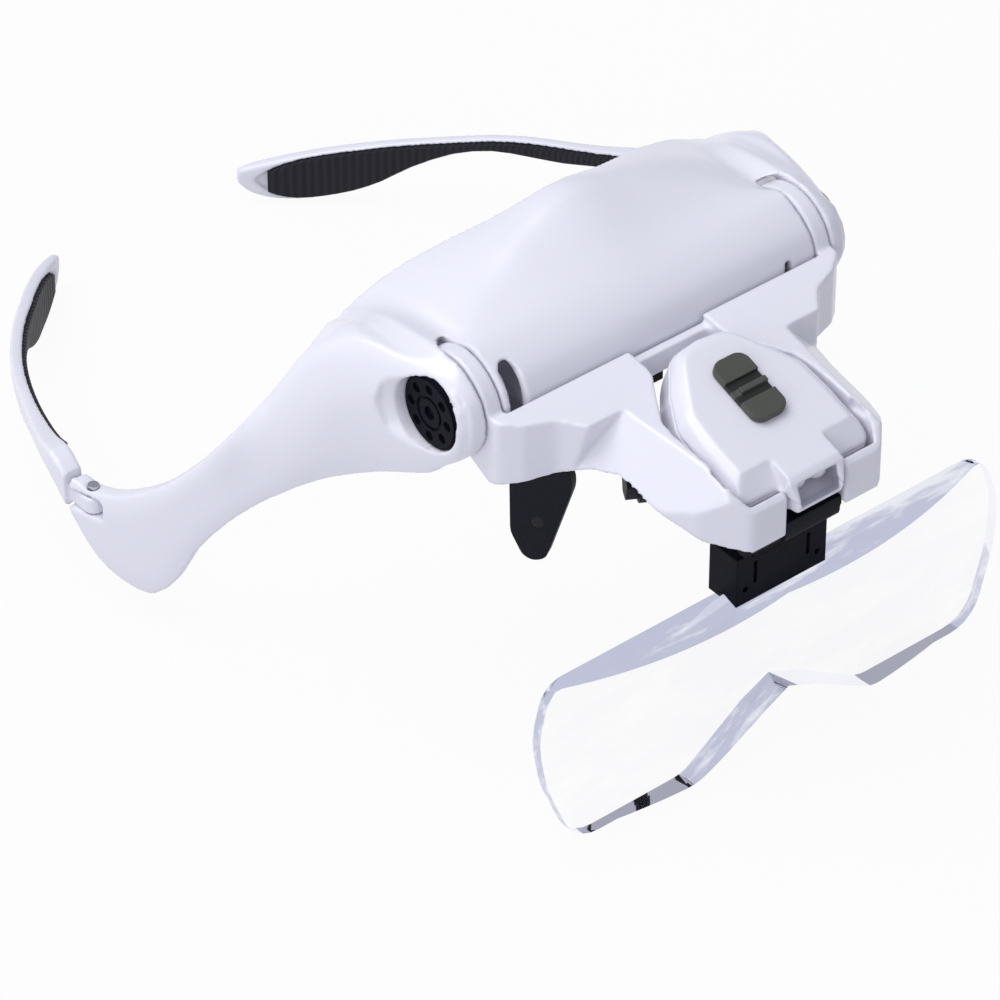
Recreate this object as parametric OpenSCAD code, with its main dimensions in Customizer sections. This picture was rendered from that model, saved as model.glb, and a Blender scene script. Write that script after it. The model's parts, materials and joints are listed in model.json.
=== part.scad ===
// Lighted headband magnifier: a white visor with a brow bar, a tilting carrier that holds a lamp
// and a clear two-lobe lens, a nose piece and two temple legs. Every piece is drawn about the
// carrier's tilt axis: X to the wearer's left, Y to the back, Z up. place() then sets the whole
// on the table, with the middle of its footprint at the origin.

/* [Brow bar and visor] */
// Radius of the brow bar's round front about the tilt axis
bar_r = 11.5; // [11.2:0.1:12]
// Wall of the visor shell
shell_wall = 2.2; // [1.8:0.1:2.6]
// Distance of each tilt slot's middle from the centre plane
slot_x = 43.4; // [42.6:0.2:44]
// Width of a tilt slot
slot_w = 4.6; // [4:0.2:5]
// Height of the brow crest over the tilt axis, at the centre plane
crest_up = 19.8; // [18:0.2:22]
// Distance of the brow crest behind the tilt axis, at the centre plane
crest_back = 15.5; // [14:0.5:17]
// Width of the band between the crest and the rim, at the centre plane
band_w = 8; // [6:0.5:10]
// Distance of the side face's recess round a cap from the centre plane
side_x = 53.5; // [53:0.25:54.5]
// Wall of a side arm at its elbow
elbow_wall = 5.8; // [5.4:0.2:6.4]
// Depth of the side arm's lowest point under the tilt axis
fin_drop = 71.6; // [70:0.2:73]
// Distance of an arm's rear end behind the tilt axis
arm_end_y = 79.5; // [78:0.5:80]
// Distance of an arm's outer face from the centre plane, where it stops widening
arm_end_x = 86.3; // [85.5:0.2:87]
// Wall of the inner liner
liner_wall = 2; // [1.6:0.1:2.4]

/* [Tilt pivots] */
// Radius of the pivot bolt
bolt_r = 2.5; // [2:0.25:3]
// Radius of the bolt's head
bolt_head_r = 5; // [4.5:0.25:5.5]
// Thickness of the bolt's head
bolt_head_h = 1.6; // [1.2:0.1:1.8]
// Radius of the black cap
cap_r = 8.2; // [7.8:0.1:8.4]
// Thickness of the black cap
cap_h = 2.4; // [2.2:0.1:2.8]
// Thickness of the web that carries the bolt
web_t = 3; // [2.6:0.1:3.4]
// Thickness of the friction washer
washer_t = 0.4; // [0.3:0.05:0.5]
// Thickness of the pivot nut
nut_t = 2.4; // [2:0.2:3]

/* [Carrier] */
// Wall of the carrier's top and sides
yoke_wall = 2; // [1.6:0.1:2.4]
// Distance of the carrier's front face ahead of the lamp's hinge line
yoke_lip = 8.6; // [8:0.2:10]
// Half the carrier's width beside the lamp's front
yoke_half_w = 24.2; // [23.6:0.2:25.6]
// Half the width of the notch for the lamp's nose
notch_half_w = 7.7; // [7.4:0.1:8.2]
// Gap between the lamp and the carrier's well
well_gap = 0.7; // [0.6:0.1:0.9]

/* [Lamp] */
// Distance of the lamp's hinge line ahead of the tilt axis
lamp_ahead = 50; // [49.6:0.1:50.4]
// Depth of the lamp's parting line under the tilt axis, at its hinge line
lamp_under = 6; // [5.6:0.1:6.4]
// Depth of the lamp's pins under its parting line
lamp_pin_drop = 2.6; // [2.4:0.1:2.8]
// Slope of the lamp's top face at rest
lamp_slope = 18.3; // [17:0.5:19]
// Radius of a lamp pin
lamp_pin_r = 1.2; // [1:0.1:1.4]
// Half the lamp's width
lamp_half_w = 17.4; // [17:0.1:17.8]
// Length of the lamp behind its hinge line
lamp_back = 32.4; // [31.6:0.2:33]
// Length of the lamp's nose ahead of its hinge line
lamp_nose = 10.8; // [10.4:0.1:11.2]
// Height of the lamp's top face over its parting line
lamp_top = 4.4; // [4.2:0.1:4.8]
// Depth of the battery bay under the lamp's parting line
bay_drop = 9; // [8.9:0.1:9.4]
// Wall of the lamp's two shells
lamp_wall = 1.4; // [1.2:0.1:1.6]
// Radius of a light-emitting diode
led_r = 2.5; // [2:0.25:2.5]
// Distance between the two diodes' middles
led_gap = 5.4; // [5.4:0.1:5.6]
// Radius of a coin cell
cell_r = 10; // [9.5:0.25:10]
// Thickness of a coin cell
cell_h = 3.2; // [2.5:0.1:3.2]
// Thickness of the circuit board
board_t = 0.8; // [0.6:0.1:1]

/* [Switch] */
// Width of the switch slider
slider_w = 8.8; // [8:0.2:10]
// Length of the switch slider
slider_len = 16; // [15:0.5:16.5]
// Height of the switch slider
slider_h = 1.6; // [1.4:0.1:2.2]
// Travel of the switch slider
slider_travel = 3; // [2:0.25:3]
// Distance of the slider's middle behind the lamp's hinge line, switched off
slider_back = 14.9; // [14.4:0.1:15.6]

/* [Lens and its bracket] */
// Height of the lens along its own back face
lens_h = 40.3; // [39.5:0.1:41]
// Half the width of the lens
lens_half_w = 61.6; // [60:0.2:63]
// Thickness of the lens at its ends
lens_t = 2.4; // [2:0.1:2.8]
// Thickness of the lens at the crown of each lobe
lens_crown = 8; // [7.4:0.1:8.4]
// Radius of each lobe's curved front
lobe_ball = 155; // [150:1:165]
// Distance of each lobe's crown from the centre plane
lobe_x = 15; // [13:0.5:17]
// Height of the nose notch over the lens's lowest points
nose_notch_h = 13.5; // [12:0.5:14.5]
// Angle by which the lens leans back at its top
lens_lean = 5; // [4:0.5:6]
// Slope of the lens's top face, down to the front
lens_top_slope = 17.3; // [15:0.1:19]
// Width of the lens bracket
bracket_w = 24; // [23:0.5:25]
// Depth of the lens bracket, front to back
bracket_d = 8.4; // [8.2:0.1:9]
// Distance of the lens's top edge under the lens hinge
bracket_drop = 15.8; // [15:0.1:16.4]
// Distance of the lens hinge ahead of the lamp's hinge line
hinge_ahead = 0; // [-0.5:0.25:0.5]
// Depth of the lens hinge under the tilt axis
hinge_z = 22.5; // [22:0.25:23]
// Radius of the lens hinge's knuckles
knuckle_r = 2.8; // [2.6:0.1:3]
// Radius of the lens hinge pin
hinge_pin_r = 1; // [0.8:0.1:1.2]

/* [Nose piece] */
// Half the distance between the nose pads' middles
pad_x = 14.4; // [14:0.2:15]
// Depth of the nose pads' middles under the tilt axis
pad_drop = 52.8; // [52:0.2:54]
// Distance of the nose pads' middles behind the tilt axis
pad_back = 10.2; // [9.6:0.2:11]
// Thickness of a nose pad
pad_t = 2.6; // [2.2:0.1:3]
// Angle by which each nose pad opens toward the face
pad_toe = 30; // [24:1:34]
// Radius of a nose pad's pin
pad_pin_r = 0.9; // [0.7:0.1:1.1]

/* [Temples] */
// Thickness of a temple leg along its middle
leg_t = 2.8; // [2.6:0.1:3]
// Radius of a temple's hinge pin
leg_pin_r = 1.2; // [1:0.1:1.4]
// Height of the temple leg's tongue in the arm's fork
tongue_h = 4; // [3.6:0.2:4.4]
// Depth of the groove for the rubber insert
groove_d = 1; // [0.8:0.1:1.2]
// How far the rubber insert stands out of its groove
insert_proud = 0.8; // [0.5:0.1:1]

/* [Hidden] */
$fn = 48;

// Radial clearance of a pin in its bore, and gap between faces that slide
fit_gap = 0.05;
slide_gap = 0.4;
// Steps of the smooth surfaces between two stations, and between two rows
station_steps = 2;
row_steps = 2;

shell_white = [0.93, 0.93, 0.96];
inner_white = [0.86, 0.86, 0.9];
soft_black = [0.08, 0.08, 0.11];
steel = [0.7, 0.71, 0.73];

// Places worked out from the sizes above, all about the tilt axis
slot_in = slot_x - slot_w / 2;
slot_out = slot_x + slot_w / 2;
ear_in = slot_in + slide_gap;
ear_out = slot_out - slide_gap;
web_out = slot_out + web_t;
cap_face = web_out + 0.3 + cap_h;
rib_out = slot_in - slide_gap;
rib_in = rib_out - web_t;
ear_r = bar_r - 0.2;
hinge_y = lamp_ahead + hinge_ahead;
lens_top = -hinge_z - bracket_drop;
lens_bottom = lens_top - lens_h * cos(lens_lean);
leg_rear = arm_end_y + 89;
axis_z = max(-lens_bottom, fin_drop);
yoke_front = lamp_ahead + yoke_lip;
nose_front = lamp_ahead + lamp_nose * cos(lamp_slope);
axis_y = (nose_front - leg_rear) / 2;

module place() { translate([0, axis_y, axis_z]) children(); }
module both() { children(); mirror([1, 0, 0]) children(); }
module side(s) { if (s > 0) children(); else mirror([1, 0, 0]) children(); }
// Round bar along X, from x0 to x1, on the tilt axis
module x_rod(x0, x1, r) { translate([x0, 0, 0]) rotate([0, 90, 0]) cylinder(h = x1 - x0, r = r); }

// Smooth curves: a value between b and c, with a and d as their outer neighbours
function smooth(a, b, c, d, t) = b + (c - a) * t / 2
    + (2 * a - 5 * b + 4 * c - d) * t * t / 2 + (3 * b - a - 3 * c + d) * t * t * t / 2;
function along(list, s) = let (i = min(floor(s), len(list) - 2))
    smooth(list[max(i - 1, 0)], list[i], list[i + 1], list[min(i + 2, len(list) - 1)], s - i);
function finer(list, steps) = [for (k = [0:(len(list) - 1) * steps]) along(list, k / steps)];
function flip(p) = [-p.x, p.y, p.z];
function unit(v) = v / norm(v);

// Corners [x, y, radius] of a flat outline, each rounded by its radius
function corner_arc(a, b, c, r) = let (u = unit(a - b), v = unit(c - b), half = acos(u * v) / 2,
    m = b + unit(u + v) * r / sin(half), p = b + u * r / tan(half), q = b + v * r / tan(half),
    start = atan2(p.y - m.y, p.x - m.x), turn = atan2(q.y - m.y, q.x - m.x) - start,
    sweep = (turn + 540) % 360 - 180, n = max(2, ceil(abs(sweep) / 15)))
    [for (i = [0:n]) m + r * [cos(start + sweep * i / n), sin(start + sweep * i / n)]];
function spot(p) = [p.x, p.y];
function rounded(list) = let (n = len(list)) [for (i = [0:n - 1])
    each (list[i][2] > 0
        ? corner_arc(spot(list[(i + n - 1) % n]), spot(list[i]), spot(list[(i + 1) % n]), list[i][2])
        : [spot(list[i])])];
// A half outline on the +X side, from its centre-plane start to its centre-plane end, made whole
function whole(half) = concat(half, [for (i = [len(half) - 2:-1:1]) [-half[i].x, half[i].y, half[i][2]]]);

// Closed wall between an outer and an inner grid of points
module skin_wall(outer, inner) {
    nu = len(outer);
    nv = len(outer[0]);
    half = nu * nv;
    sides = concat(
        [for (u = [0:nu - 2], v = [0:nv - 2]) each let (o = u * nv + v, i = half + o)
            [[o, o + 1, o + nv + 1], [o, o + nv + 1, o + nv],
             [i, i + nv + 1, i + 1], [i, i + nv, i + nv + 1]]],
        [for (u = [0:nu - 2]) each let (o = u * nv, i = half + o, p = o + nv - 1, q = half + p)
            [[o, o + nv, i + nv], [o, i + nv, i], [p + nv, p, q], [p + nv, q, q + nv]]],
        [for (v = [0:nv - 2]) each let (o = v, i = half + o, p = (nu - 1) * nv + v, q = half + p)
            [[o + 1, o, i], [o + 1, i, i + 1], [p, p + 1, q + 1], [p, q + 1, q]]]);
    polyhedron(points = concat([for (row = outer) each row], [for (row = inner) each row]),
        faces = sides, convexity = 8);
}
// Solid through a row of closed sections with the same number of points
module loft(sections) {
    n = len(sections[0]);
    m = len(sections);
    sides = [for (s = [0:m - 2], k = [0:n - 1]) each let (a = s * n + k, b = s * n + (k + 1) % n)
        [[a, b + n, b], [a, a + n, b + n]]];
    caps = [[for (k = [0:n - 1]) k], [for (k = [n - 1:-1:0]) (m - 1) * n + k]];
    polyhedron(points = [for (row = sections) each row], faces = concat(sides, caps), convexity = 6);
}
function wall_normal(grid, u, v) = unit(cross(
    grid[min(u + 1, len(grid) - 1)][v] - grid[max(u - 1, 0)][v],
    grid[u][min(v + 1, len(grid[0]) - 1)] - grid[u][max(v - 1, 0)]));

// Visor surface: rows from the bottom lip (0) to the rim (8), at stations from the centre plane out
crest_rows = 8;
function crest(x) = let (t = min(1, x / slot_in))
    [crest_back - (crest_back - 5) * pow(t, 4), crest_up - (crest_up - 10) * pow(t, 1.35)];
function rim(x) = let (t = min(1, x / 42))
    [crest_back + band_w + 9.5 * (1 - cos(180 * t)) / 2, 20 - 13.6 * pow(t, 1.2)];
function bar_point(x, angle) = [x, bar_r * cos(angle), bar_r * sin(angle)];
function brow_station(x) = let (c = crest(x), r = rim(x),
    tangent = atan2(c.y, c.x) + acos(min(1, bar_r / norm(c))), high = max(tangent, 104),
    join = bar_point(x, high), lift = pow(x / slot_in, 4))
    [bar_point(x, 285), bar_point(x, 235), bar_point(x, 190), bar_point(x, (190 + high) / 2), join,
     [x, (join.y + c.x) / 2, (join.z + c.y) / 2 + lift], [x, c.x, c.y],
     [x, (c.x + r.x) / 2, (c.y + r.y) / 2 + 0.8], [x, r.x, r.y]];
// Four stations carry the surface round the side of the brow bar, past the cap
corner_stations = [
    [[slot_out, -1, -12], [slot_out, -6.6, -9.5], [slot_out, -11.3, -2], [slot_out, -9.7, 6.3],
     [slot_out, -3.5, 11], [slot_out, 1.5, 11.7], [slot_out, 7, 11.4], [slot_out, 21, 9.2],
     [slot_out, 33.7, 4.1]],
    [[side_x - 4.3, -2, -13.2], [side_x - 3, -6.8, -8.6], [side_x - 2.2, -9.2, -2.5],
     [side_x - 2.5, -8.5, 4], [side_x - 3.7, -5, 8.3], [side_x - 5, 0, 10.5],
     [side_x - 5.6, 5.5, 10.9], [side_x - 6.2, 21, 9], [side_x - 6.6, 33.5, 3.9]],
    [[side_x - 2.3, 0.5, -16], [side_x - 0.7, 0.8, -11], [side_x, 0.5, -4], [side_x, 0.5, 2.5],
     [side_x - 0.7, 2, 6.8], [side_x - 2, 5, 9.4], [side_x - 3, 9.5, 9.8],
     [side_x - 4, 22.5, 8.4], [side_x - 4.6, 33, 3]],
    [[side_x + 1.8, 11.5, -20.3], [side_x + 3.4, 12, -14], [side_x + 4, 12.6, -6.5],
     [side_x + 3.9, 13.4, 0], [side_x + 3, 15.5, 5], [side_x + 1.8, 18, 7.6],
     [side_x + 0.8, 21.5, 8.3], [side_x - 0.4, 27.5, 6.3], [side_x - 1.5, 33.4, 2]],
    [[side_x + 7.5, 22.7, -26.2], [side_x + 9.3, 23, -21.5], [side_x + 10.1, 23.6, -16],
     [side_x + 10.1, 24.4, -10.5], [side_x + 9.6, 25.8, -5.5], [side_x + 8.6, 28, -1.2],
     [side_x + 7.3, 30.6, -0.6], [side_x + 5.9, 33, -2.8], [side_x + 4.5, 35, -5.5]]];
// Side arm seen from the side: its lower and upper edges, from the brow to the rear end
arm_low = [[33, -34.8], [42, -44.6], [49.4, -55.5], [53.5, 7.2 - fin_drop], [59.5, 0.2 - fin_drop],
    [67, 0.8 - fin_drop], [73.4, 4.8 - fin_drop], [arm_end_y, -58.4]];
arm_high = [[40.5, -20.5], [48, -31.5], [55.5, -40.2], [61.5, -45], [67.5, -48.6], [72.5, -50],
    [76, -50], [arm_end_y, -49.3]];
arm_edge = 1;
function arm_x(y) = arm_end_x - 0.0506 * pow(max(0, arm_end_y + 5.5 - y), 1.5);
function arm_station(k) = [for (v = [0:crest_rows])
    let (t = v / crest_rows, p = arm_low[k] * (1 - t) + arm_high[k] * t)
    [arm_x(p.x) - arm_edge * pow(abs(2 * t - 1), 4), p.x, p.y]];
half_stations = concat([for (x = [0, 14, 28, 37, slot_in]) brow_station(x)], corner_stations,
    [for (k = [0:len(arm_low) - 1]) arm_station(k)]);
half_walls = concat([for (k = [0:9]) shell_wall],
    [for (k = [1:len(arm_low)]) shell_wall + (elbow_wall - shell_wall) * min(1, k / 5)]);
last_station = len(half_stations) - 1;
all_stations = [for (k = [-last_station:last_station]) k < 0
    ? [for (p = half_stations[-k]) flip(p)] : half_stations[k]];
all_walls = [for (k = [-last_station:last_station]) half_walls[abs(k)]];
visor_outer = [for (row = finer(all_stations, station_steps)) finer(row, row_steps)];
visor_walls = finer(all_walls, station_steps);
// The shell's wall follows the surface on the brow bar; an arm is a flat bar with soft edges
arm_share = finer([for (k = [-last_station:last_station]) min(1, max(0, (abs(k) - 6) / 3))], station_steps);
rows = crest_rows * row_steps;
visor_inner = [for (u = [0:len(visor_outer) - 1]) let (w = arm_share[u],
    flat = wall_normal(visor_outer, u, rows / 2)) [for (v = [0:rows])
    visor_outer[u][v] - unit(wall_normal(visor_outer, u, v) * (1 - w) + flat * w)
        * visor_walls[u] * (1 - 0.4 * w * pow(abs(2 * v / rows - 1), 4))]];

// Screws that hold the liner to the shell: place across and up, and the liner's seat behind them
liner_screw_spots = [[12, 5.5], [30, -2.5]];
liner_screw_r = 1.1;
liner_head_r = 2.4;
liner_head_h = 1.4;
liner_boss_r = 2.9;
liner_seat_t = 4.6;
boss_gap = 2.2;
function liner_y(z) = 11 + (z + 2.5) * 7 / 12;
function boss_reach(z) = sqrt(pow(bar_r - 0.6, 2) - pow(abs(z) + liner_boss_r, 2));
nose_screw_r = 1.2;
nose_screw_y = 3;
nose_boss_top = -2;
nose_boss_r = 2.2;

// Fork at the arm's end, and the temple leg's pin in it
fork_pin_y = arm_end_y - 4.5;
fork_pin_x = arm_x(fork_pin_y) - elbow_wall / 2;
fork_z = -53.9;
fork_depth = 4.4;

module fork_place(s) { side(s) translate([fork_pin_x, fork_pin_y, fork_z]) children(); }

dish_rise = 1.9;
dish_h = 8;

// Solid round the cap's recess, cut back to stay behind the shell's outer face
module cap_backing() intersection() {
    x_rod(slot_out + 0.1, side_x + 4, cap_r + 1.9);
    translate([side_x - 0.9, 0.5, 0]) rotate([0, 0, -16]) translate([-30, -30, -30]) cube([30, 60, 60]);
    translate([side_x - 1.6, 0, 6.4]) rotate([0, 37, 0]) translate([-40, -30, -40]) cube([80, 60, 40]);
}
module visor_shell() color(shell_white) place() difference() {
    union() {
        skin_wall(visor_outer, visor_inner);
        both() x_rod(slot_out, web_out, bar_r - 0.6);
        both() cap_backing();
        both() for (p = liner_screw_spots)
            translate([p.x, liner_y(p.y) - boss_gap - fit_gap, p.y]) rotate([90, 0, 0])
                cylinder(h = liner_y(p.y) - boss_gap + boss_reach(p.y), r = liner_boss_r);
        translate([0, nose_screw_y, -10]) cylinder(h = nose_boss_top + 10, r = nose_boss_r);
    }
    both() x_rod(slot_in, slot_out, bar_r + 0.8);
    both() x_rod(slot_in, side_x + 3, bolt_r + fit_gap);
    both() x_rod(web_out, side_x + 3, cap_r + fit_gap);
    // Dish that leads down to each cap
    both() translate([cap_face + dish_rise, 0, 0]) rotate([0, 90, 0])
        cylinder(h = dish_h, r1 = cap_r + fit_gap, r2 = cap_r + fit_gap + 1.1 * dish_h);
    both() for (p = liner_screw_spots)
        translate([p.x, liner_y(p.y) + 1, p.y]) rotate([90, 0, 0])
            cylinder(h = 11, r = liner_screw_r + fit_gap);
    translate([0, nose_screw_y, -14]) cylinder(h = 11, r = nose_screw_r + fit_gap);
    // Slot with a round top for the carrier's stop lug, and a short slot on the other side
    translate([-stop_x - stop_t - slide_gap, -bar_r - 1, stop_low])
        cube([2 * stop_round, bar_r - 1, stop_high - stop_round - stop_low]);
    translate([-stop_x - stop_t / 2, -bar_r - 1, stop_high - stop_round]) rotate([-90, 0, 0])
        cylinder(h = bar_r - 1, r = stop_round);
    translate([sight_x, -bar_r - 1, stop_low]) cube([sight_w, bar_r - 1, sight_high - stop_low]);
    // Arm ends cut square for the temple legs
    both() translate([60, arm_end_y - 0.1, -70]) cube([40, 5, 30]);
    // Fork for the temple leg's tongue, and its pin
    both() translate([fork_pin_x, fork_pin_y, fork_z]) {
        translate([-20, -fork_depth, -tongue_h / 2 - slide_gap / 2])
            cube([40, 20, tongue_h + slide_gap]);
        translate([0, 0, -20]) cylinder(h = 40, r = leg_pin_r + fit_gap);
    }
}

// Liner: closes the brow bar's hollow from behind and carries the inner pivot ribs
liner_half_w = rib_out;
liner_rows = [[5.3, -9.8], [11, -2.5], [18, 9.5]];
function liner_station(x) = let (r = rim(abs(x)), c = crest(abs(x)))
    [for (p = concat(liner_rows, [[max(19.5, (c.x + r.x) / 2), (c.y + r.y) / 2 - 3.4]]))
        [x, min(p.x, r.x - 1), p.y * (p.y > 0 ? min(1, ((c.y + r.y) / 2 - 3.4) / 16) : 1)]];
liner_front = [for (x = [-liner_half_w:liner_half_w / 6:liner_half_w + 0.01])
    finer(liner_station(x), 2)];
liner_back = [for (u = [0:len(liner_front) - 1]) [for (v = [0:len(liner_front[0]) - 1])
    liner_front[u][v] - wall_normal(liner_front, u, v) * liner_wall]];

module inner_liner() color(inner_white) place() difference() {
    union() {
        skin_wall(liner_front, liner_back);
        both() x_rod(rib_in, rib_out, bar_r - shell_wall - 1);
        both() translate([rib_in, 0, -5]) cube([web_t, liner_y(-2.5) + 0.5, 10]);
        both() for (p = liner_screw_spots)
            translate([p.x, liner_y(p.y) - boss_gap, p.y]) rotate([-90, 0, 0])
                cylinder(h = liner_seat_t + boss_gap, r = liner_boss_r);
    }
    both() x_rod(rib_in - 1, rib_out + 1, bolt_r + fit_gap);
    both() for (p = liner_screw_spots)
        translate([p.x, liner_y(p.y) - boss_gap - 1, p.y]) rotate([-90, 0, 0])
            cylinder(h = liner_seat_t + boss_gap + 2, r = liner_screw_r + fit_gap);
}
module liner_screws() color(steel) place() both() for (p = liner_screw_spots)
    translate([p.x, liner_y(p.y) + liner_seat_t, p.y]) rotate([90, 0, 0]) difference() {
        union() {
            cylinder(h = liner_seat_t + 9, r = liner_screw_r);
            translate([0, 0, -liner_head_h]) cylinder(h = liner_head_h, r = liner_head_r);
        }
        translate([-0.3, -liner_head_r, -liner_head_h - 1]) cube([0.6, 2 * liner_head_r, 1.6]);
        translate([-liner_head_r, -0.3, -liner_head_h - 1]) cube([2 * liner_head_r, 0.6, 1.6]);
    }

// Nose piece: a saddle under the brow bar, two arms and two pads that rock on their pins
saddle_w = 14;
saddle_d = 8.6;
saddle_rear = 5.1;
saddle_drop = 6.5;
arm_rod_r = 1.7;
pad_head_r = 1.5;
pad_head_h = 0.5;
pad_lug_r = 2.6;
pad_lug_t = 2;
cushion_h = 2.8;
cushion_outline = rounded([[-0.8, -9, 1], [2.8, -9, 1], [4.6, -3.3, 1], [-2.8, -3.3, 1]]);
module pad_place(s) { side(s) translate([pad_x, pad_back, -pad_drop]) rotate([0, 0, -pad_toe]) children(); }
module nose_bridge() color(soft_black) place() difference() {
    union() {
        translate([-saddle_w / 2, saddle_rear - saddle_d, -bar_r - saddle_drop])
            cube([saddle_w, saddle_d, saddle_drop + 2]);
        for (s = [-1, 1]) side(s) {
            hull() {
                translate([saddle_w / 2 - arm_rod_r, nose_screw_y + 2, -bar_r - saddle_drop + 2])
                    sphere(r = arm_rod_r, $fn = 20);
                translate([pad_x - 4.4, pad_back + 5, -pad_drop + 22]) sphere(r = arm_rod_r, $fn = 20);
            }
            hull() {
                translate([pad_x - 4.4, pad_back + 5, -pad_drop + 22]) sphere(r = arm_rod_r, $fn = 20);
                translate([pad_x, pad_back, -pad_drop]) rotate([0, 0, -pad_toe])
                    translate([-pad_t / 2 - slide_gap - pad_lug_t, 0, 2.6])
                        rotate([0, 90, 0]) cylinder(h = pad_lug_t, r = pad_lug_r - 0.6, $fn = 20);
            }
        }
        for (s = [-1, 1]) pad_place(s) translate([-pad_t / 2 - slide_gap - pad_lug_t, 0, 0])
            rotate([0, 90, 0]) cylinder(h = pad_lug_t, r = pad_lug_r);
    }
    x_rod(-saddle_w, saddle_w, bar_r + 0.02);
    translate([0, nose_screw_y, -bar_r - saddle_drop - 1])
        cylinder(h = saddle_drop + 4, r = nose_screw_r + fit_gap);
    for (s = [-1, 1]) pad_place(s) translate([-10, 0, 0]) rotate([0, 90, 0])
        cylinder(h = 20, r = pad_pin_r + fit_gap);
}
module nose_bridge_screw() color(steel) place() translate([0, nose_screw_y, -bar_r - saddle_drop])
    difference() {
        union() {
            cylinder(h = saddle_drop + 8, r = nose_screw_r);
            translate([0, 0, -1.5]) cylinder(h = 1.5, r = 2.6);
        }
        translate([-0.3, -3, -3]) cube([0.6, 6, 2.2]);
        translate([-3, -0.3, -3]) cube([6, 0.6, 2.2]);
    }
pad_outline = rounded([[2.4, -11.4, 3], [6, -4, 6], [6.2, 11, 5], [3.4, 18, 6], [-8, 18, 6],
    [-7.6, 10, 8], [-2, -9.2, 3]]);
module nose_pad(s) color(soft_black) place() pad_place(s) difference() {
    union() {
        translate([-pad_t / 2, 0, 0]) rotate([90, 0, 90]) linear_extrude(pad_t) polygon(pad_outline);
        translate([-pad_t / 2 - cushion_h, 0, 0]) rotate([90, 0, 90])
            linear_extrude(cushion_h + 0.1) polygon(cushion_outline);
    }
    translate([-10, 0, 0]) rotate([0, 90, 0]) cylinder(h = 20, r = pad_pin_r + fit_gap);
    translate([pad_t / 2 - pad_head_h - fit_gap, 0, 0]) rotate([0, 90, 0])
        cylinder(h = 2, r = pad_head_r + fit_gap);
}
module nose_pad_pin(s) color(steel) place() pad_place(s) rotate([0, 90, 0]) {
    translate([0, 0, -pad_t / 2 - slide_gap - pad_lug_t])
        cylinder(h = pad_t + slide_gap + pad_lug_t - pad_head_h, r = pad_pin_r);
    translate([0, 0, pad_t / 2 - pad_head_h - fit_gap / 2]) cylinder(h = pad_head_h, r = pad_head_r);
}

// Carrier: two ears in the tilt slots, side walls round the lamp's well and two front prongs
stop_x = 35.8;
stop_t = 3.2;
stop_round = stop_t / 2 + slide_gap;
stop_high = 9.4;
stop_low = -6.8;
sight_x = 33.1;
sight_w = 1.6;
sight_high = 3.4;
prong_wall = 1.6;
lamp_y = -lamp_ahead;
lamp_z = -lamp_under;
pin_y = lamp_y + lamp_pin_drop * sin(lamp_slope);
pin_z = lamp_z - lamp_pin_drop * cos(lamp_slope);
well_front = yoke_front - prong_wall;
yoke_plan = rounded(whole([[0, -4, 0], [ear_out, -4, 0], [ear_out, -13.5, 2.5], [41, -17, 3],
    [34.5, -19.5, 4], [30, lamp_y + 25, 4], [28.6, lamp_y + 14, 0], [27.6, lamp_y + 6.4, 8],
    [yoke_half_w, lamp_y - 0.5, 6],
    [yoke_half_w - 7.2, -yoke_front, 3], [0, -yoke_front, 0]]));
yoke_top = [[-13, 2.4], [lamp_y + 22, 0.5], [lamp_y + 10, -0.6], [lamp_y + 4, -1.2], [lamp_y, -2],
    [lamp_y - 3, -3.1], [lamp_y - 5.4, -4.6], [-yoke_front, -7.4]];
yoke_profile = concat([[-2, 2.6]], yoke_top, [[-yoke_front, -17], [lamp_y - 1.4, -15.3],
    [lamp_y + 2.6, -13.1], [lamp_y + 6.7, -11.3], [lamp_y + 14, -9.1], [lamp_y + 19, -8.4],
    [lamp_y + 24, -9.5], [-20, -11.6], [-16, -12.8], [-11, -14], [-5, -11], [-2, -9]]);
well_plan = rounded(whole([[0, -14.4, 0], [9.8, -14.4, 2], [9.9, lamp_y + 30.4, 2],
    [12.2 + well_gap, lamp_y + 25.9, 3], [lamp_half_w - 0.7 + well_gap, lamp_y + 18.6, 2],
    [lamp_half_w + well_gap, lamp_y + 14, 2], [lamp_half_w + well_gap, 3 - well_front, 2],
    [lamp_half_w - 1, -well_front, 0],
    [notch_half_w, -well_front, 0], [notch_half_w, -yoke_front - 2, 0], [0, -yoke_front - 2, 0]]));
well_floor = [[-10, 10], [-yoke_front - 3, 10], [-yoke_front - 3, -15], [-well_front, -14.9],
    [lamp_y - 3.3, -14.4], [lamp_y + 3, -12.6], [lamp_y + 3, -30], [-10, -30]];
pocket_front = lamp_y - 2.6;
pocket_side = lamp_half_w + well_gap + 1.6;
pocket_plan = rounded([[41.4, -13.8, 0], [40.2, -15, 1], [33.4, -17.5, 3], [28, lamp_y + 25.8, 3],
    [26.6, lamp_y + 14, 0], [25.6, lamp_y + 7, 6], [yoke_half_w - 2, lamp_y + 0.4, 3],
    [yoke_half_w - 4.5, pocket_front, 0], [pocket_side, pocket_front, 0],
    [pocket_side, lamp_y + 14.6, 2], [pocket_side - 0.7, lamp_y + 19.3, 2],
    [13.7 + well_gap, lamp_y + 26.7, 2], [12.4, -14.8, 0]]);
pocket_profile = concat([[-10, 0.4]], [for (k = [0:4]) yoke_top[k] - [0, yoke_wall + 0.2]],
    [[pocket_front, -5.4], [pocket_front, -30], [-10, -30]]);

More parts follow.
